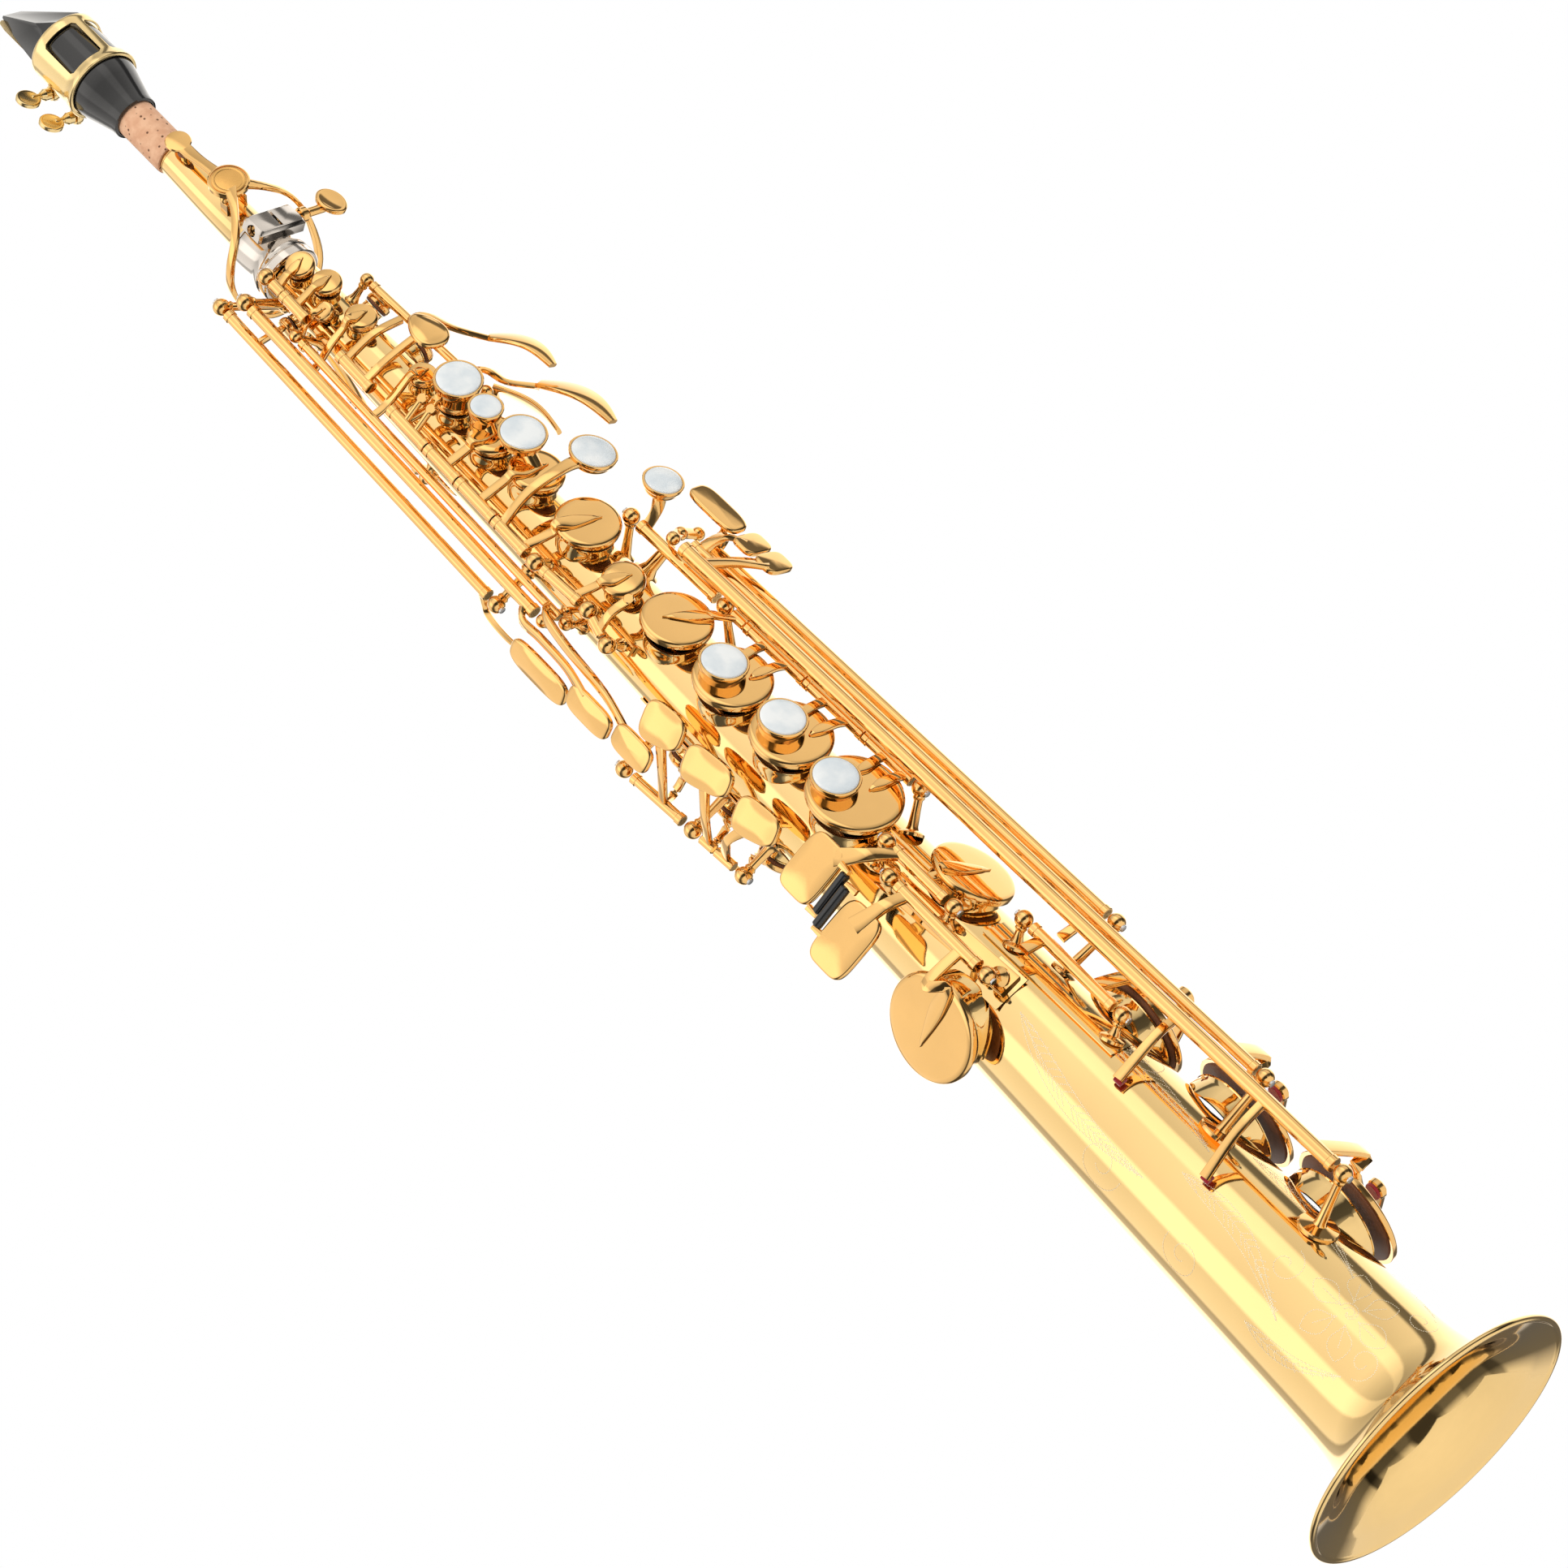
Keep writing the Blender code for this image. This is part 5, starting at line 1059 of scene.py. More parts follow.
def small_cup_key(name, hinge, span, arm_height):
    """Key with one cup on one arm."""
    hole = HOLES[name]
    start = on_rod(hinge, arm_height)
    middle = start.lerp(cup_top(hole), 0.45)
    middle += Vector((middle.x, middle.y, 0)).normalized() * 0.8
    shells = tube(hinge, *span) + [cup(hole), leaf([start, middle], hole, 2.6)]
    key(name + "_key", hinge, shells, hole, VENT_LIFT)


def stack_key(name, hinge, span, hole, button, arms, radius, depth, rise, bridge):
    """Stack key: cup, arms and a pearl in its dish."""
    top = place(*button[:3])
    shells = tube(hinge, *span) + [cup(hole), holder(top, button[3], depth, radius)] + bridge
    for arm in arms:
        start = on_rod(hinge, arm)
        middle = start.lerp(cup_top(hole), 0.5)
        middle += Vector((middle.x, middle.y, 0)).normalized() * rise
        shells.append(leaf([start, middle], hole, 3.0))
    pearl_name = name.replace("_key", "_pearl")
    key(name, hinge, shells, hole, STACK_LIFT, True,
        [(pearl_name + "_button", [pearl(top, button[3], radius)], PEARL, (pearl_name,))])


def adjusting_screw(point, direction):
    """Small slotted adjusting screw in its barrel."""
    return [turned_on([(0, -1.4), (1.7, -1.4), (1.7, 0.6), (1.45, 0.9), (0, 0.9)], point, direction, 24)]


def make_left_stack():
    """Keys on the left hand's rod."""
    small_cup_key("high_vent", LEFT_STACK, (535.6, 530.0), 533.0)
    small_cup_key("b_vent", LEFT_STACK, (529.6, 517.0), 523.5)
    front = place(481.5, 20.0, 25.5)
    teardrop = slab([(x * (1.0 - 0.035 * y), y) for x, y in oval(11.5, 15.5, 56)],
                    facing(front, outward(16.0)),
                    1.8, 0.9, -0.9)
    shells = tube(LEFT_STACK, 499.0, 482.0) + [
        teardrop, bar([on_rod(LEFT_STACK, 485.5), place(483.5, -20.0, 21.5), place(482.0, 10.0, 24.6),
                       front],
                      [2.6] * 4, 2.0),
        lever_arm(LEFT_STACK, 496.0, [(495.6, -8.0, 18.6), (495.0, 25.0, 19.0)], [2.6] * 3, 1.8)]
    key("front_f_key", LEFT_STACK, shells, (front, outward(16.0)), 2.6)
    stack = (("b_key", (471.5, 452.5), "b", (461.1, 12.8, 24.4, 11.0), (465.0,), PEARL_RADIUS, 8.6, 1.0),
             ("bis_key", (452.0, 436.0), "bis", (447.0, 12.5, 24.6, 14.0), (443.0,), 5.0, 7.0, 1.0),
             ("a_key", (435.5, 417.0), "a", (431.5, 17.5, 25.6, 14.0), (425.5,), PEARL_RADIUS, 4.4, 3.2))
    for name, span, hole, button, arms, radius, depth, rise in stack:
        bridge = [rod(cup_top(HOLES[hole]) - outward(14.0),
                      place(button[0], button[1], button[2] - 3.4), 2.4)]
        stack_key(name, LEFT_STACK, span, HOLES[hole], button, arms, radius, depth, rise, bridge)
    g_hole = HOLES["g"]
    top = place(414.0, 48.0, 29.0)
    start = on_rod(LEFT_STACK, 403.0)
    middle = start.lerp(cup_top(g_hole), 0.5) + outward(-20.0) * 1.6
    shells = tube(LEFT_STACK, 416.5, 400.5) + [
        cup(g_hole), leaf([start, middle], g_hole, 3.0),
        bar([on_rod(LEFT_STACK, 413.5), place(413.8, -10.0, 22.4), place(413.8, 28.0, 24.6),
             top - outward(30.0) * 3.5],
            [3.0, 3.0, 4.0, 5.5], 2.0),
        holder(top, 24.0, 4.0)]
    key("g_key", LEFT_STACK, shells, g_hole, 2.2, True,
        [("g_pearl_button", [pearl(top, 24.0)], PEARL, ("g_pearl",))])
    for number, (height, angle, reach) in enumerate(((464.5, -18.0, 21.6), (459.4, -19.0, 21.8))):
        point = place(height, angle, reach)
        shells = [rod(on_rod(LEFT_STACK, height), point, 1.1)] + adjusting_screw(point, outward(angle))
        piece("stack_screw_%d" % number, shells, KEY_BRASS, "b_key", (),
              rest_turn(LEFT_STACK, HOLES["b"], STACK_LIFT))


def make_links():
    """G sharp cup, its pearl lever and the lower stack's linking lever."""
    hole = HOLES["g_sharp"]
    start = on_rod(LINK_UPPER, 378.0)
    middle = start.lerp(cup_top(hole), 0.5) + outward(-20.0) * 1.2
    shells = tube(LINK_UPPER, 392.2, 375.2) + [cup(hole), leaf([start, middle], hole, 2.8)]
    key("g_sharp_key", LINK_UPPER, shells, hole, 1.8, False)
    top = place(391.0, 55.0, 38.4)
    shells = tube(G_SHARP, 386.2, 348.6) + [
        holder(top, 26.0, 4.0, 6.0),
        bar([on_rod(G_SHARP, 384.0), place(387.0, 55.0, 30.0), top - outward(26.0) * 3.4],
            [3.6, 3.6, 5.0], 2.2)]
    key("g_sharp_lever", G_SHARP, shells, (top, outward(40.0)), 2.6, True,
        [("g_sharp_button", [pearl(top, 26.0, 6.0)], PEARL, ("g_sharp_pearl",))])
    tip = place(361.8, -14.0, 23.4)
    shells = tube(LINK_LOWER, 367.8, 361.2) + [
        bar([on_rod(LINK_LOWER, 363.4), place(362.4, -30.0, 24.9), tip], [2.8, 2.8, 3.4], 1.7)]
    shells += adjusting_screw(tip + outward(-14.0) * 0.6, outward(-14.0))
    key("stack_link_lever", LINK_LOWER, shells, (tip, outward(-14.0)), 1.2)


def make_right_stack():
    """F sharp, F, E and D cups on the right hand's rod."""
    hole = HOLES["f_sharp"]
    start = on_rod(RIGHT_STACK, 338.0)
    middle = start.lerp(cup_top(hole), 0.5) + outward(25.0) * 1.2
    shells = tube(RIGHT_STACK, 340.6, 334.5) + [cup(hole), leaf([start, middle], hole, 3.0)]
    key("f_sharp_key", RIGHT_STACK, shells, hole, 2.4)
    stack = (("f_key", (334.0, 307.0), "f", (323.0, -4.0, 26.6, 4.0), (325.0, 315.0)),
             ("e_key", (306.5, 280.0), "e", (295.4, -3.0, 27.4, 3.0), (297.0, 287.0)),
             ("d_key", (279.5, 257.8), "d", (268.6, -6.0, 28.0, 2.0), (270.0, 260.5)))
    for name, span, hole_name, button, arms in stack:
        hole = HOLES[hole_name]
        depth = button[2] - seat(hole) - PAD_GAP - CUP_THICKNESS + 1.2
        top = place(*button[:3])
        shells = tube(RIGHT_STACK, *span) + [cup(hole), holder(top, button[3], depth)]
        edge = cup_top(hole) + outward(hole.angle) * 0.1
        for arm in arms:
            start = on_rod(RIGHT_STACK, arm)
            end = edge + Vector((hole.cup * 0.55, 0, (arm - hole.height) * 0.8))
            middle = start.lerp(end, 0.5) + outward(25.0) * 0.8
            shells.append(bar([start, middle, end, end - Vector((hole.cup * 0.3, 0, 0))],
                              [3.0, 3.0, 3.4, 0.8], 1.7))
        key(name, RIGHT_STACK, shells, hole, LOW_STACK_LIFT, True,
            [(name.replace("_key", "_button"), [pearl(top, button[3])], PEARL,
              (name.replace("_key", "_pearl"),))])


def make_side_keys():
    """Right-hand side keys and the three trill touches."""
    hole = HOLES["high_e"]
    shells = tube(SIDE_E, 545.6, 408.6) + [
        cup(hole), bar([on_rod(SIDE_E, 530.5), place(529.6, -96.0, 19.0), place(529.0, -95.2, 14.0)],
                       [2.6, 2.6, 2.0], 1.6, UP),
        lever_arm(SIDE_E, 412.0, [(408.0, -120.0, 30.0), (396.0, -118.0, 31.0), (380.0, -106.0, 30.6)],
                  [3, 3, 3, 4], 2.0),
        touch_plate(376.0, -104.0, 32.4, 9.6, 27.0, -70.0, dish=-0.7)]
    key("high_e_key", SIDE_E, shells, hole, 1.4, False)

    hole = HOLES["side_c"]
    shells = tube(SIDE_C, 536.2, 388.4) + [
        cup(hole), lever_arm(SIDE_C, 509.0, [(509.0, -91.0, 16.6)], [2.6, 2.6], 1.6),
        leaf([place(508.8, -93.0, 17.4), place(508.6, -76.0, 14.2), place(508.0, -52.0, 13.6),
              place(507.4, -24.0, 15.0)], hole, 2.4),
        lever_arm(SIDE_C, 393.5, [(389.5, -88.0, 26.4), (380.0, -86.0, 26.8), (366.0, -86.0, 27.4),
                                  (355.0, -90.0, 29.2)], [3, 3, 3, 3, 4], 2.0),
        touch_plate(351.0, -93.0, 31.4, 9.6, 20.0, -64.0, dish=-0.7)]
    key("side_c_key", SIDE_C, shells, hole, 1.8, False)

    hole = HOLES["side_b_flat"]
    shells = tube(SIDE_B_FLAT, 515.4, 380.6) + [
        cup(hole), leaf([on_rod(SIDE_B_FLAT, 478.0), place(477.6, -58.0, 15.2),
                         place(477.0, -28.0, 15.2)], hole, 2.6),
        lever_arm(SIDE_B_FLAT, 386.0,
                  [(382.0, -70.0, 24.6), (370.0, -74.0, 25.8), (350.0, -82.0, 25.4),
                   (333.0, -86.0, 29.2)], [3, 3, 3, 3, 4], 2.0),
        touch_plate(330.5, -87.0, 31.0, 9.6, 17.0, -60.0, dish=-0.7)]
    key("side_b_flat_key", SIDE_B_FLAT, shells, hole, 1.8, False)

    trills = (("high_f_sharp", 325.0, 316.0, (329.4, 307.0), 13.0, 17.0),
              ("fork_f_sharp", 303.5, 295.4, (298.4, 292.5), 12.0, 20.0),
              ("high_g", 280.0, 287.5, (291.8, 283.8), 12.0, 18.0))
    for name, height, arm, span, width, length in trills:
        hole = HOLES[name]
        plate = [(x * (1.0 + 0.016 * y), y) for x, y in oval(width, length, 56, 0.62)]
        matrix = facing(place(height, -62.0, 26.4) - outward(-52.0) * 1.8, outward(-52.0))
        shells = tube(TRILL, *span) + [
            cup(hole), leaf([on_rod(TRILL, arm), place((arm + hole.height) / 2, -134.0, 30.0)], hole,
                            2.8),
            lever_arm(TRILL, arm, [(arm * 0.8 + height * 0.2, -88.0, 28.5), (height, -66.0, 26.0)],
                      [3.0, 3.0, 4.0], 1.8),
            slab(plate, matrix @ Matrix.Rotation(radians(12.0), 4, "Z"), 1.8, 0.7, -0.8)]
        key(name + "_key", TRILL, shells, hole, 1.8, False)


def spatula(root, tip, angle, width):
    """Curved leaf for the palm."""
    points, widths = [], []
    for step in range(9):
        share = step / 8
        points.append(place(root[0] + (tip[0] - root[0]) * share, angle,
                            root[1] + (tip[1] - root[1]) * share + 3.4 * sin(pi * share)))
        widths.append(1.6 + (width - 1.6) * sin(pi * (0.12 + 0.8 * share)))
    return bar(points, widths, 1.6, outward(angle - PALM_TWIST), 4, 0.6)


def make_palm_keys():
    """Palm keys for high D, E flat and F."""
    hole = HOLES["palm_f"]
    shells = tube(PALM, 516.6, 492.0) + [
        cup(hole), leaf([on_rod(PALM, 503.0), place(507.0, 60.0, 17.8)], hole, 2.6),
        lever_arm(PALM, 497.0, [(493.0, 43.0, 23.5), (484.0, 49.0, 26.0), (474.0, 58.0, 31.0)],
                  [3.4, 3.6, 4.0, 5.0], 2.0),
        spatula((475.0, 31.0), (451.0, 39.0), 60.0, 7.4)]
    key("palm_f_key", PALM, shells, hole, 1.6, False)
    hole = HOLES["palm_e_flat"]
    shells = tube(PALM, 491.4, 463.4) + [
        cup(hole), leaf([on_rod(PALM, 487.0), place(490.0, 66.0, 18.6)], hole, 2.6),
        lever_arm(PALM, 470.0, [(464.0, 47.0, 24.4), (457.0, 52.0, 25.8), (449.0, 57.0, 31.0)],
                  [4.0, 5.0, 5.0, 6.0], 2.0),
        spatula((450.0, 32.0), (421.5, 39.8), 60.0, 8.8)]
    key("palm_e_flat_key", PALM, shells, hole, 1.6, False)
    hole = HOLES["palm_d"]
    shells = tube(PALM_LOW, 486.2, 458.8) + [
        cup(hole), leaf([on_rod(PALM_LOW, 470.5), place(471.4, 114.0, 18.2)], hole, 2.6),
        lever_arm(PALM_LOW, 481.5, [(480.0, 132.0, 22.0), (476.0, 122.0, 26.5), (472.0, 112.0, 30.0)],
                  [3.4, 4.0, 4.0, 6.0], 2.0),
        spatula((474.0, 29.0), (448.0, 35.5), 108.0, 8.0)]
    key("palm_d_key", PALM_LOW, shells, hole, 1.6, False)


def bell_arm(shoulder, hole):
    """Broad arm from a long rod round to the middle of a bell key cup."""
    return leaf([shoulder, place(hole.height + 2.0, 58.0, 42.0)], hole, 5.0, 1.9, Vector((0, 1, 0)))


def felt_tip(name, stop, angle, body, rest):
    """Square of red felt under a stop arm's end."""
    under = stop - outward(angle) * 0.8 + Vector((0.8, 0, 0))
    piece(name, [block(under, -outward(angle), (3.0, 3.0, 1.5), ease=0.2)], FELT, body, (), rest)


def make_pinky_table():
    """Left little-finger levers on long rods, with the low B flat and B cups."""
    hole = HOLES["low_b_flat"]
    stop = place(97.0, -14.0, body_radius(96.0) + CHIMNEY_HEIGHT + 3.6)
    shells = tube(B_FLAT, 366.5, 71.8) + [
        cup(hole), bell_arm(on_rod(B_FLAT, 80.0), hole),
        bar([on_rod(B_FLAT, 101.0), place(99.5, 12.0, 36.0), stop], [3.0, 3.0, 3.4], 1.8),
        lever_arm(B_FLAT, 358.0, [(352.0, 50.0, 37.0), (346.0, 58.0, 41.5)], [4.0, 4.5, 6.0], 2.0),
        touch_plate(346.5, 61.0, 43.6, 12.0, 9.0, 34.0)]
    rest = key("low_b_flat_key", B_FLAT, shells, hole, 3.4)
    felt_tip("low_b_flat_felt", stop, -14.0, "low_b_flat_key", rest)

    hole = HOLES["low_b"]
    stop = place(138.5, -8.0, body_radius(138.0) + CHIMNEY_HEIGHT + 3.6)
    shells = tube(B_LOW, 368.8, 111.4) + [
        cup(hole), bell_arm(on_rod(B_LOW, 121.0), hole),
        bar([on_rod(B_LOW, 143.0), place(142.0, 36.0, 36.0), place(141.0, 24.0, 33.0), stop],
            [3.0, 3.0, 3.0, 3.4], 1.8),
        lever_arm(B_LOW, 366.0, [(364.0, 58.0, 39.0), (358.0, 62.0, 42.0)], [4.0, 4.5, 6.0], 2.0),
        touch_plate(356.5, 61.5, 43.6, 12.0, 9.0, 34.0)]
    rest = key("low_b_key", B_LOW, shells, hole, 3.4)
    felt_tip("low_b_felt", stop, -8.0, "low_b_key", rest)

    table = place(373.0, 62.0, 45.0)
    shells = tube(C_SHARP_LEVER, 367.6, 183.0) + [
        lever_arm(C_SHARP_LEVER, 365.5, [(368.0, 68.0, 38.5), (371.0, 66.0, 43.2)], [4.0, 4.5, 6.0], 2.0),
        touch_plate(373.0, 62.0, 45.0, 9.0, 22.0, 34.0),
        lever_arm(C_SHARP_LEVER, 187.0, [(187.5, 46.0, 34.5), (188.0, 34.5, 29.8)], [3.0, 3.0, 3.4], 2.0)]
    key("low_c_sharp_lever", C_SHARP_LEVER, shells, (table, outward(50.0)), 3.0)


def roller(centre, angle):
    """Drum of a roller."""
    side = outward(angle + 90.0)
    return [rod(centre - side * 7.5, centre + side * 7.5, 1.7, steps=32, ease=0.35)]


def roller_ears(centre, angle, plate_side):
    """Two ears and a pin that hold a roller on its plate."""
    side = outward(angle + 90.0)
    shells = [rod(centre - side * 8.6, centre + side * 8.6, 0.6)]
    for sign in (-1, 1):
        ear = centre + side * sign * 8.4
        ends = [ear - UP * 0.8 * plate_side, ear + UP * 3.6 * plate_side - outward(angle) * 0.6]
        shells.append(bar(ends, [1.4, 2.2], 2.0, outward(angle)))
    return shells


def make_low_keys():
    """E flat and low C with their plates and rollers, and the low C sharp cup."""
    hole = HOLES["e_flat"]
    start = on_rod(E_FLAT, 226.0)
    middle = start.lerp(cup_top(hole), 0.5) + outward(14.0) * 1.6
    centre = place(241.6, -50.0, 33.4)
    shells = tube(E_FLAT, 239.8, 216.4) + [
        cup(hole), leaf([start, middle], hole, 3.0),
        lever_arm(E_FLAT, 237.6, [(241.6, -22.0, 31.2), (248.6, -36.0, 32.2)], [4.0, 4.0, 6.0], 2.0),
        touch_plate(251.9, -48.0, 33.4, 21.0, 14.6, -38.0, power=0.45, dish=-0.6)]
    shells += roller_ears(centre, -44.0, 1)
    key("e_flat_key", E_FLAT, shells, hole, 2.6, False)
    piece("e_flat_roller_drum", roller(centre, -44.0), ROLLER, "e_flat_roller", ("e_flat_roller",))

    hole = HOLES["low_c"]
    centre = place(238.0, -56.0, 33.6)
    shells = tube(LOW_C, 229.6, 192.4) + [
        cup(hole), leaf([on_rod(LOW_C, 200.0), place(198.0, -48.0, 33.6)], hole, 3.6, 1.9,
                        Vector((-0.25, 1, 0))),
        lever_arm(LOW_C, 225.0, [(226.0, -37.0, 31.4), (228.4, -55.0, 33.0)], [4.0, 4.0, 6.0], 2.0),
        touch_plate(228.0, -63.0, 34.4, 23.0, 15.6, -46.0, power=0.45, dish=-0.6)]
    shells += roller_ears(centre, -50.0, -1)
    rest = key("low_c_key", LOW_C, shells, hole, 3.2)
    piece("low_c_roller_drum", roller(centre, -50.0), ROLLER, "low_c_roller", ("low_c_roller",), rest)

    hole = HOLES["low_c_sharp"]
    shells = tube(C_SHARP, 194.0, 157.8) + [
        cup(hole), leaf([on_rod(C_SHARP, 167.0), place(163.5, 47.0, 33.2)], hole, 4.4, 2.1,
                        Vector((0, 1, 0))),
        lever_arm(C_SHARP, 188.6, [(188.6, 8.0, 26.8)], [3.4, 4.0], 1.8)]
    key("low_c_sharp_key", C_SHARP, shells, hole, 3.0, False)


def make_octave_keys():
    """Thumb octave key at the back and the small octave vent on the body."""
    hole = HOLES["octave_vent"]
    shells = tube(OCTAVE, 524.0, 500.0) + [
        cup(hole), leaf([on_rod(OCTAVE, 521.5), place(521.6, -118.0, 12.6), place(521.6, -90.0, 12.2),
                         place(521.0, -62.0, 12.4), place(519.0, -40.0, 14.0)], hole, 2.0, 1.4)]
    key("octave_vent_key", OCTAVE, shells, hole, 0.9, False)
    thumb = place(462.0, 172.0, 19.0)
    shells = tube(OCTAVE, 499.4, 465.2) + [
        bar([on_rod(OCTAVE, 468.0), place(466.0, -172.0, 19.6), thumb], [4.0, 5.0, 6.0], 1.8),
        touch_plate(460.0, 172.0, 20.4, 11.0, 15.0, 178.0),
        lever_arm(OCTAVE, 496.0, [(500.0, -166.0, 18.6), (520.0, -176.0, 16.6), (541.0, -180.0, 15.4)],
                  [3.0, 3.0, 2.6, 2.6], 1.8)]
    key("octave_thumb_key", OCTAVE, shells, (thumb, outward(176.0)), 2.4)


# --- studio ---

STUDIO_STRENGTH = 1.6
STUDIO_TURN = 25.0
# Cosines of the angles from the line behind the camera between which the dark patch fades.
PATCH_EDGE = (0.90, 0.95)
PATCH_TONE = (0.03, 0.028, 0.025, 1)
FLOOR_HALF = 3.0
FLOOR_LEVEL = -2.2
CAMERA_PLACE = (-0.7536, -1.6161, -0.5614)
CAMERA_RIGHT = (0.7743, -0.0263, -0.6323)
CAMERA_AHEAD = (0.3805, 0.8177, 0.4319)
CAMERA_LENS = 149.53
CAMERA_SENSOR = 36.0
# Name, place, size and power of the lights, and the place that they face.
LIGHTS = (("key_softbox", (-2.0, -2.4, 1.8), 2.0, 38.0), ("fill_softbox", (2.6, -1.6, 0.4), 2.0, 18.0))
LIT_PLACE = (0, 0, 0.32)
# Brightness of the studio round the horizon; one half is straight behind the camera.
WALLS = ((0.0, 1.0), (1.0, 1.0), (0.11, 1.0), (0.125, 0.42), (0.165, 0.34), (0.18, 0.70), (0.30, 0.62),
         (0.315, 1.0),
         (0.40, 1.0), (0.415, 0.66), (0.55, 0.74), (0.565, 0.95), (0.62, 0.90), (0.635, 0.52),
         (0.74, 0.60),
         (0.755, 0.12), (0.79, 0.10), (0.805, 0.80), (0.87, 1.0))
# Brightness from straight below to straight above.
LEVELS = ((0.0, 0.6), (1.0, 0.5), (0.22, 0.55), (0.30, 0.10), (0.46, 0.08), (0.50, 0.55), (0.56, 0.80),
          (0.63, 1.0),
          (0.80, 1.0))


def make_studio():
    """Pale floor well below the bell, surround, lights and camera."""
    make_floor()
    make_surround()
    make_lights()
    make_camera()
    bpy.context.scene.view_settings.view_transform = "Standard"


def make_floor():
    """Pale floor."""
    floor = bpy.data.meshes.new("studio_floor")
    corners = [(x * FLOOR_HALF, y * FLOOR_HALF, FLOOR_LEVEL) for x,
               y in ((-1, -1), (1, -1), (1, 1), (-1, 1))]
    floor.from_pydata(corners, [], [(0, 1, 2, 3)])
    floor.materials.append(shade("floor_paint", (0.86, 0.86, 0.85), 0.7, 0.0, 0.02, 2.0))
    ground = bpy.data.objects.new("studio_floor", floor)
    bpy.context.collection.objects.link(ground)


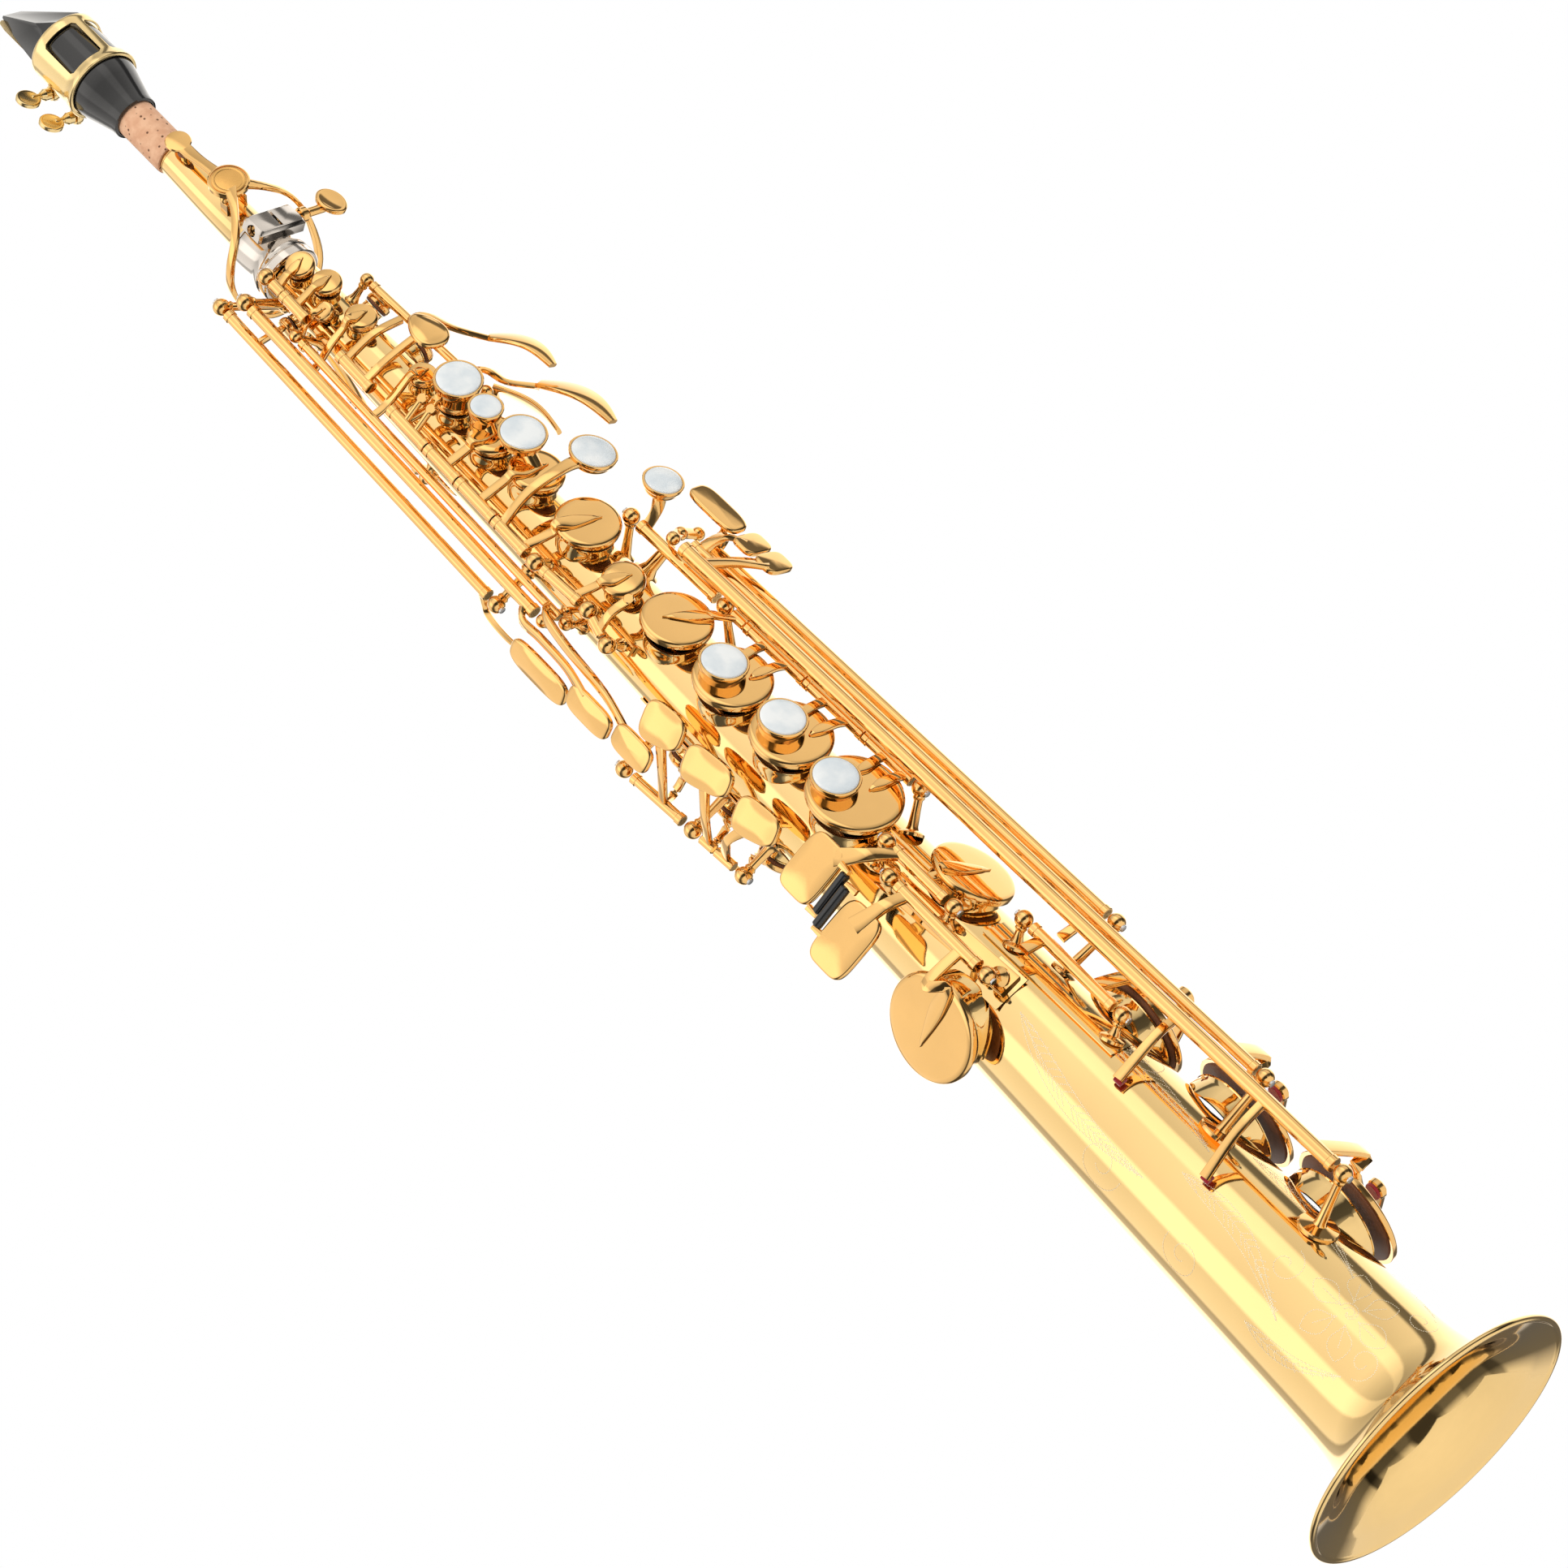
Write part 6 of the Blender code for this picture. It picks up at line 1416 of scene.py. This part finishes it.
def make_surround():
    """World: bright walls with soft dark bands, a dark patch behind the camera, white to the camera."""
    surround = bpy.data.worlds.new("studio")
    bpy.context.scene.world = surround
    surround.use_nodes = True
    nodes, links = surround.node_tree.nodes, surround.node_tree.links
    around = nodes.new("ShaderNodeTexCoord")
    turned = nodes.new("ShaderNodeMapping")
    turned.inputs["Rotation"].default_value = (0.0, 0.0, radians(STUDIO_TURN))
    links.new(around.outputs["Generated"], turned.inputs["Vector"])
    split = nodes.new("ShaderNodeSeparateXYZ")
    links.new(turned.outputs["Vector"], split.inputs["Vector"])
    flip = nodes.new("ShaderNodeMath")
    flip.operation = "MULTIPLY"
    flip.inputs[1].default_value = -1.0
    links.new(split.outputs["Y"], flip.inputs[0])
    compass = nodes.new("ShaderNodeMath")
    compass.operation = "ARCTAN2"
    links.new(split.outputs["X"], compass.inputs[0])
    links.new(flip.outputs[0], compass.inputs[1])

    def graded(source, low, high, stops):
        spread = nodes.new("ShaderNodeMapRange")
        spread.inputs["From Min"].default_value = low
        spread.inputs["From Max"].default_value = high
        links.new(source, spread.inputs["Value"])
        ramp = nodes.new("ShaderNodeValToRGB")
        ramp.color_ramp.interpolation = "LINEAR"
        marks = ramp.color_ramp.elements
        for index, (spot, tone) in enumerate(stops):
            mark = marks[index] if index < 2 else marks.new(spot)
            mark.position = spot
            mark.color = (tone, tone * 0.985, tone * 0.96, 1)
        links.new(spread.outputs["Result"], ramp.inputs["Fac"])
        return ramp.outputs["Color"]

    walls = graded(compass.outputs[0], -pi, pi, WALLS)
    levels = graded(split.outputs["Z"], -1.0, 1.0, LEVELS)
    both = colour_mix(nodes)
    both.blend_type = "MULTIPLY"
    both.inputs["Factor"].default_value = 1.0
    links.new(walls, both.inputs[MIX_FIRST])
    links.new(levels, both.inputs[MIX_SECOND])
    toward = nodes.new("ShaderNodeVectorMath")
    toward.operation = "DOT_PRODUCT"
    toward.inputs[1].default_value = tuple(-part for part in CAMERA_AHEAD)
    links.new(around.outputs["Generated"], toward.inputs[0])
    near = nodes.new("ShaderNodeMapRange")
    near.inputs["From Min"].default_value = PATCH_EDGE[0]
    near.inputs["From Max"].default_value = PATCH_EDGE[1]
    links.new(toward.outputs["Value"], near.inputs["Value"])
    shadowed = colour_mix(nodes)
    shadowed.inputs[MIX_SECOND].default_value = PATCH_TONE
    links.new(near.outputs["Result"], shadowed.inputs["Factor"])
    links.new(both.outputs[MIX_RESULT], shadowed.inputs[MIX_FIRST])
    seen = nodes.new("ShaderNodeLightPath")
    choose = colour_mix(nodes)
    choose.inputs[MIX_SECOND].default_value = (1.0 / STUDIO_STRENGTH,) * 3 + (1.0,)
    links.new(seen.outputs["Is Camera Ray"], choose.inputs["Factor"])
    links.new(shadowed.outputs[MIX_RESULT], choose.inputs[MIX_FIRST])
    links.new(choose.outputs[MIX_RESULT], nodes["Background"].inputs["Color"])
    nodes["Background"].inputs["Strength"].default_value = STUDIO_STRENGTH


def make_lights():
    """Two round soft lights that mirrors do not show."""
    for name, place_at, size, power in LIGHTS:
        light = bpy.data.lights.new(name, "AREA")
        light.shape = "DISK"
        light.size = size
        light.energy = power
        lamp = bpy.data.objects.new(name, light)
        lamp.location = place_at
        lamp.visible_glossy = False
        aim = Vector(LIT_PLACE) - Vector(place_at)
        lamp.rotation_euler = aim.to_track_quat("-Z", "Y").to_euler()
        bpy.context.collection.objects.link(lamp)


def make_camera():
    """Long lens from below and in front of the bell."""
    right = Vector(CAMERA_RIGHT).normalized()
    ahead = Vector(CAMERA_AHEAD).normalized()
    above = right.cross(ahead).normalized()
    lens = bpy.data.cameras.new("camera")
    lens.lens = CAMERA_LENS
    lens.sensor_width = CAMERA_SENSOR
    lens.clip_end = 30.0
    camera = bpy.data.objects.new("camera", lens)
    camera.matrix_world = Matrix((right, above, -ahead)).transposed().to_4x4()
    camera.location = CAMERA_PLACE
    bpy.context.collection.objects.link(camera)
    bpy.context.scene.camera = camera


def main():
    """Build every visible piece."""
    make_body()
    make_ribs()
    make_engraving()
    make_fittings()
    make_neck()
    make_neck_octave_key()
    make_mouthpiece()
    make_left_stack()
    make_links()
    make_right_stack()
    make_side_keys()
    make_palm_keys()
    make_pinky_table()
    make_low_keys()
    make_octave_keys()
    make_studio()


main()
bpy.context.view_layer.update()
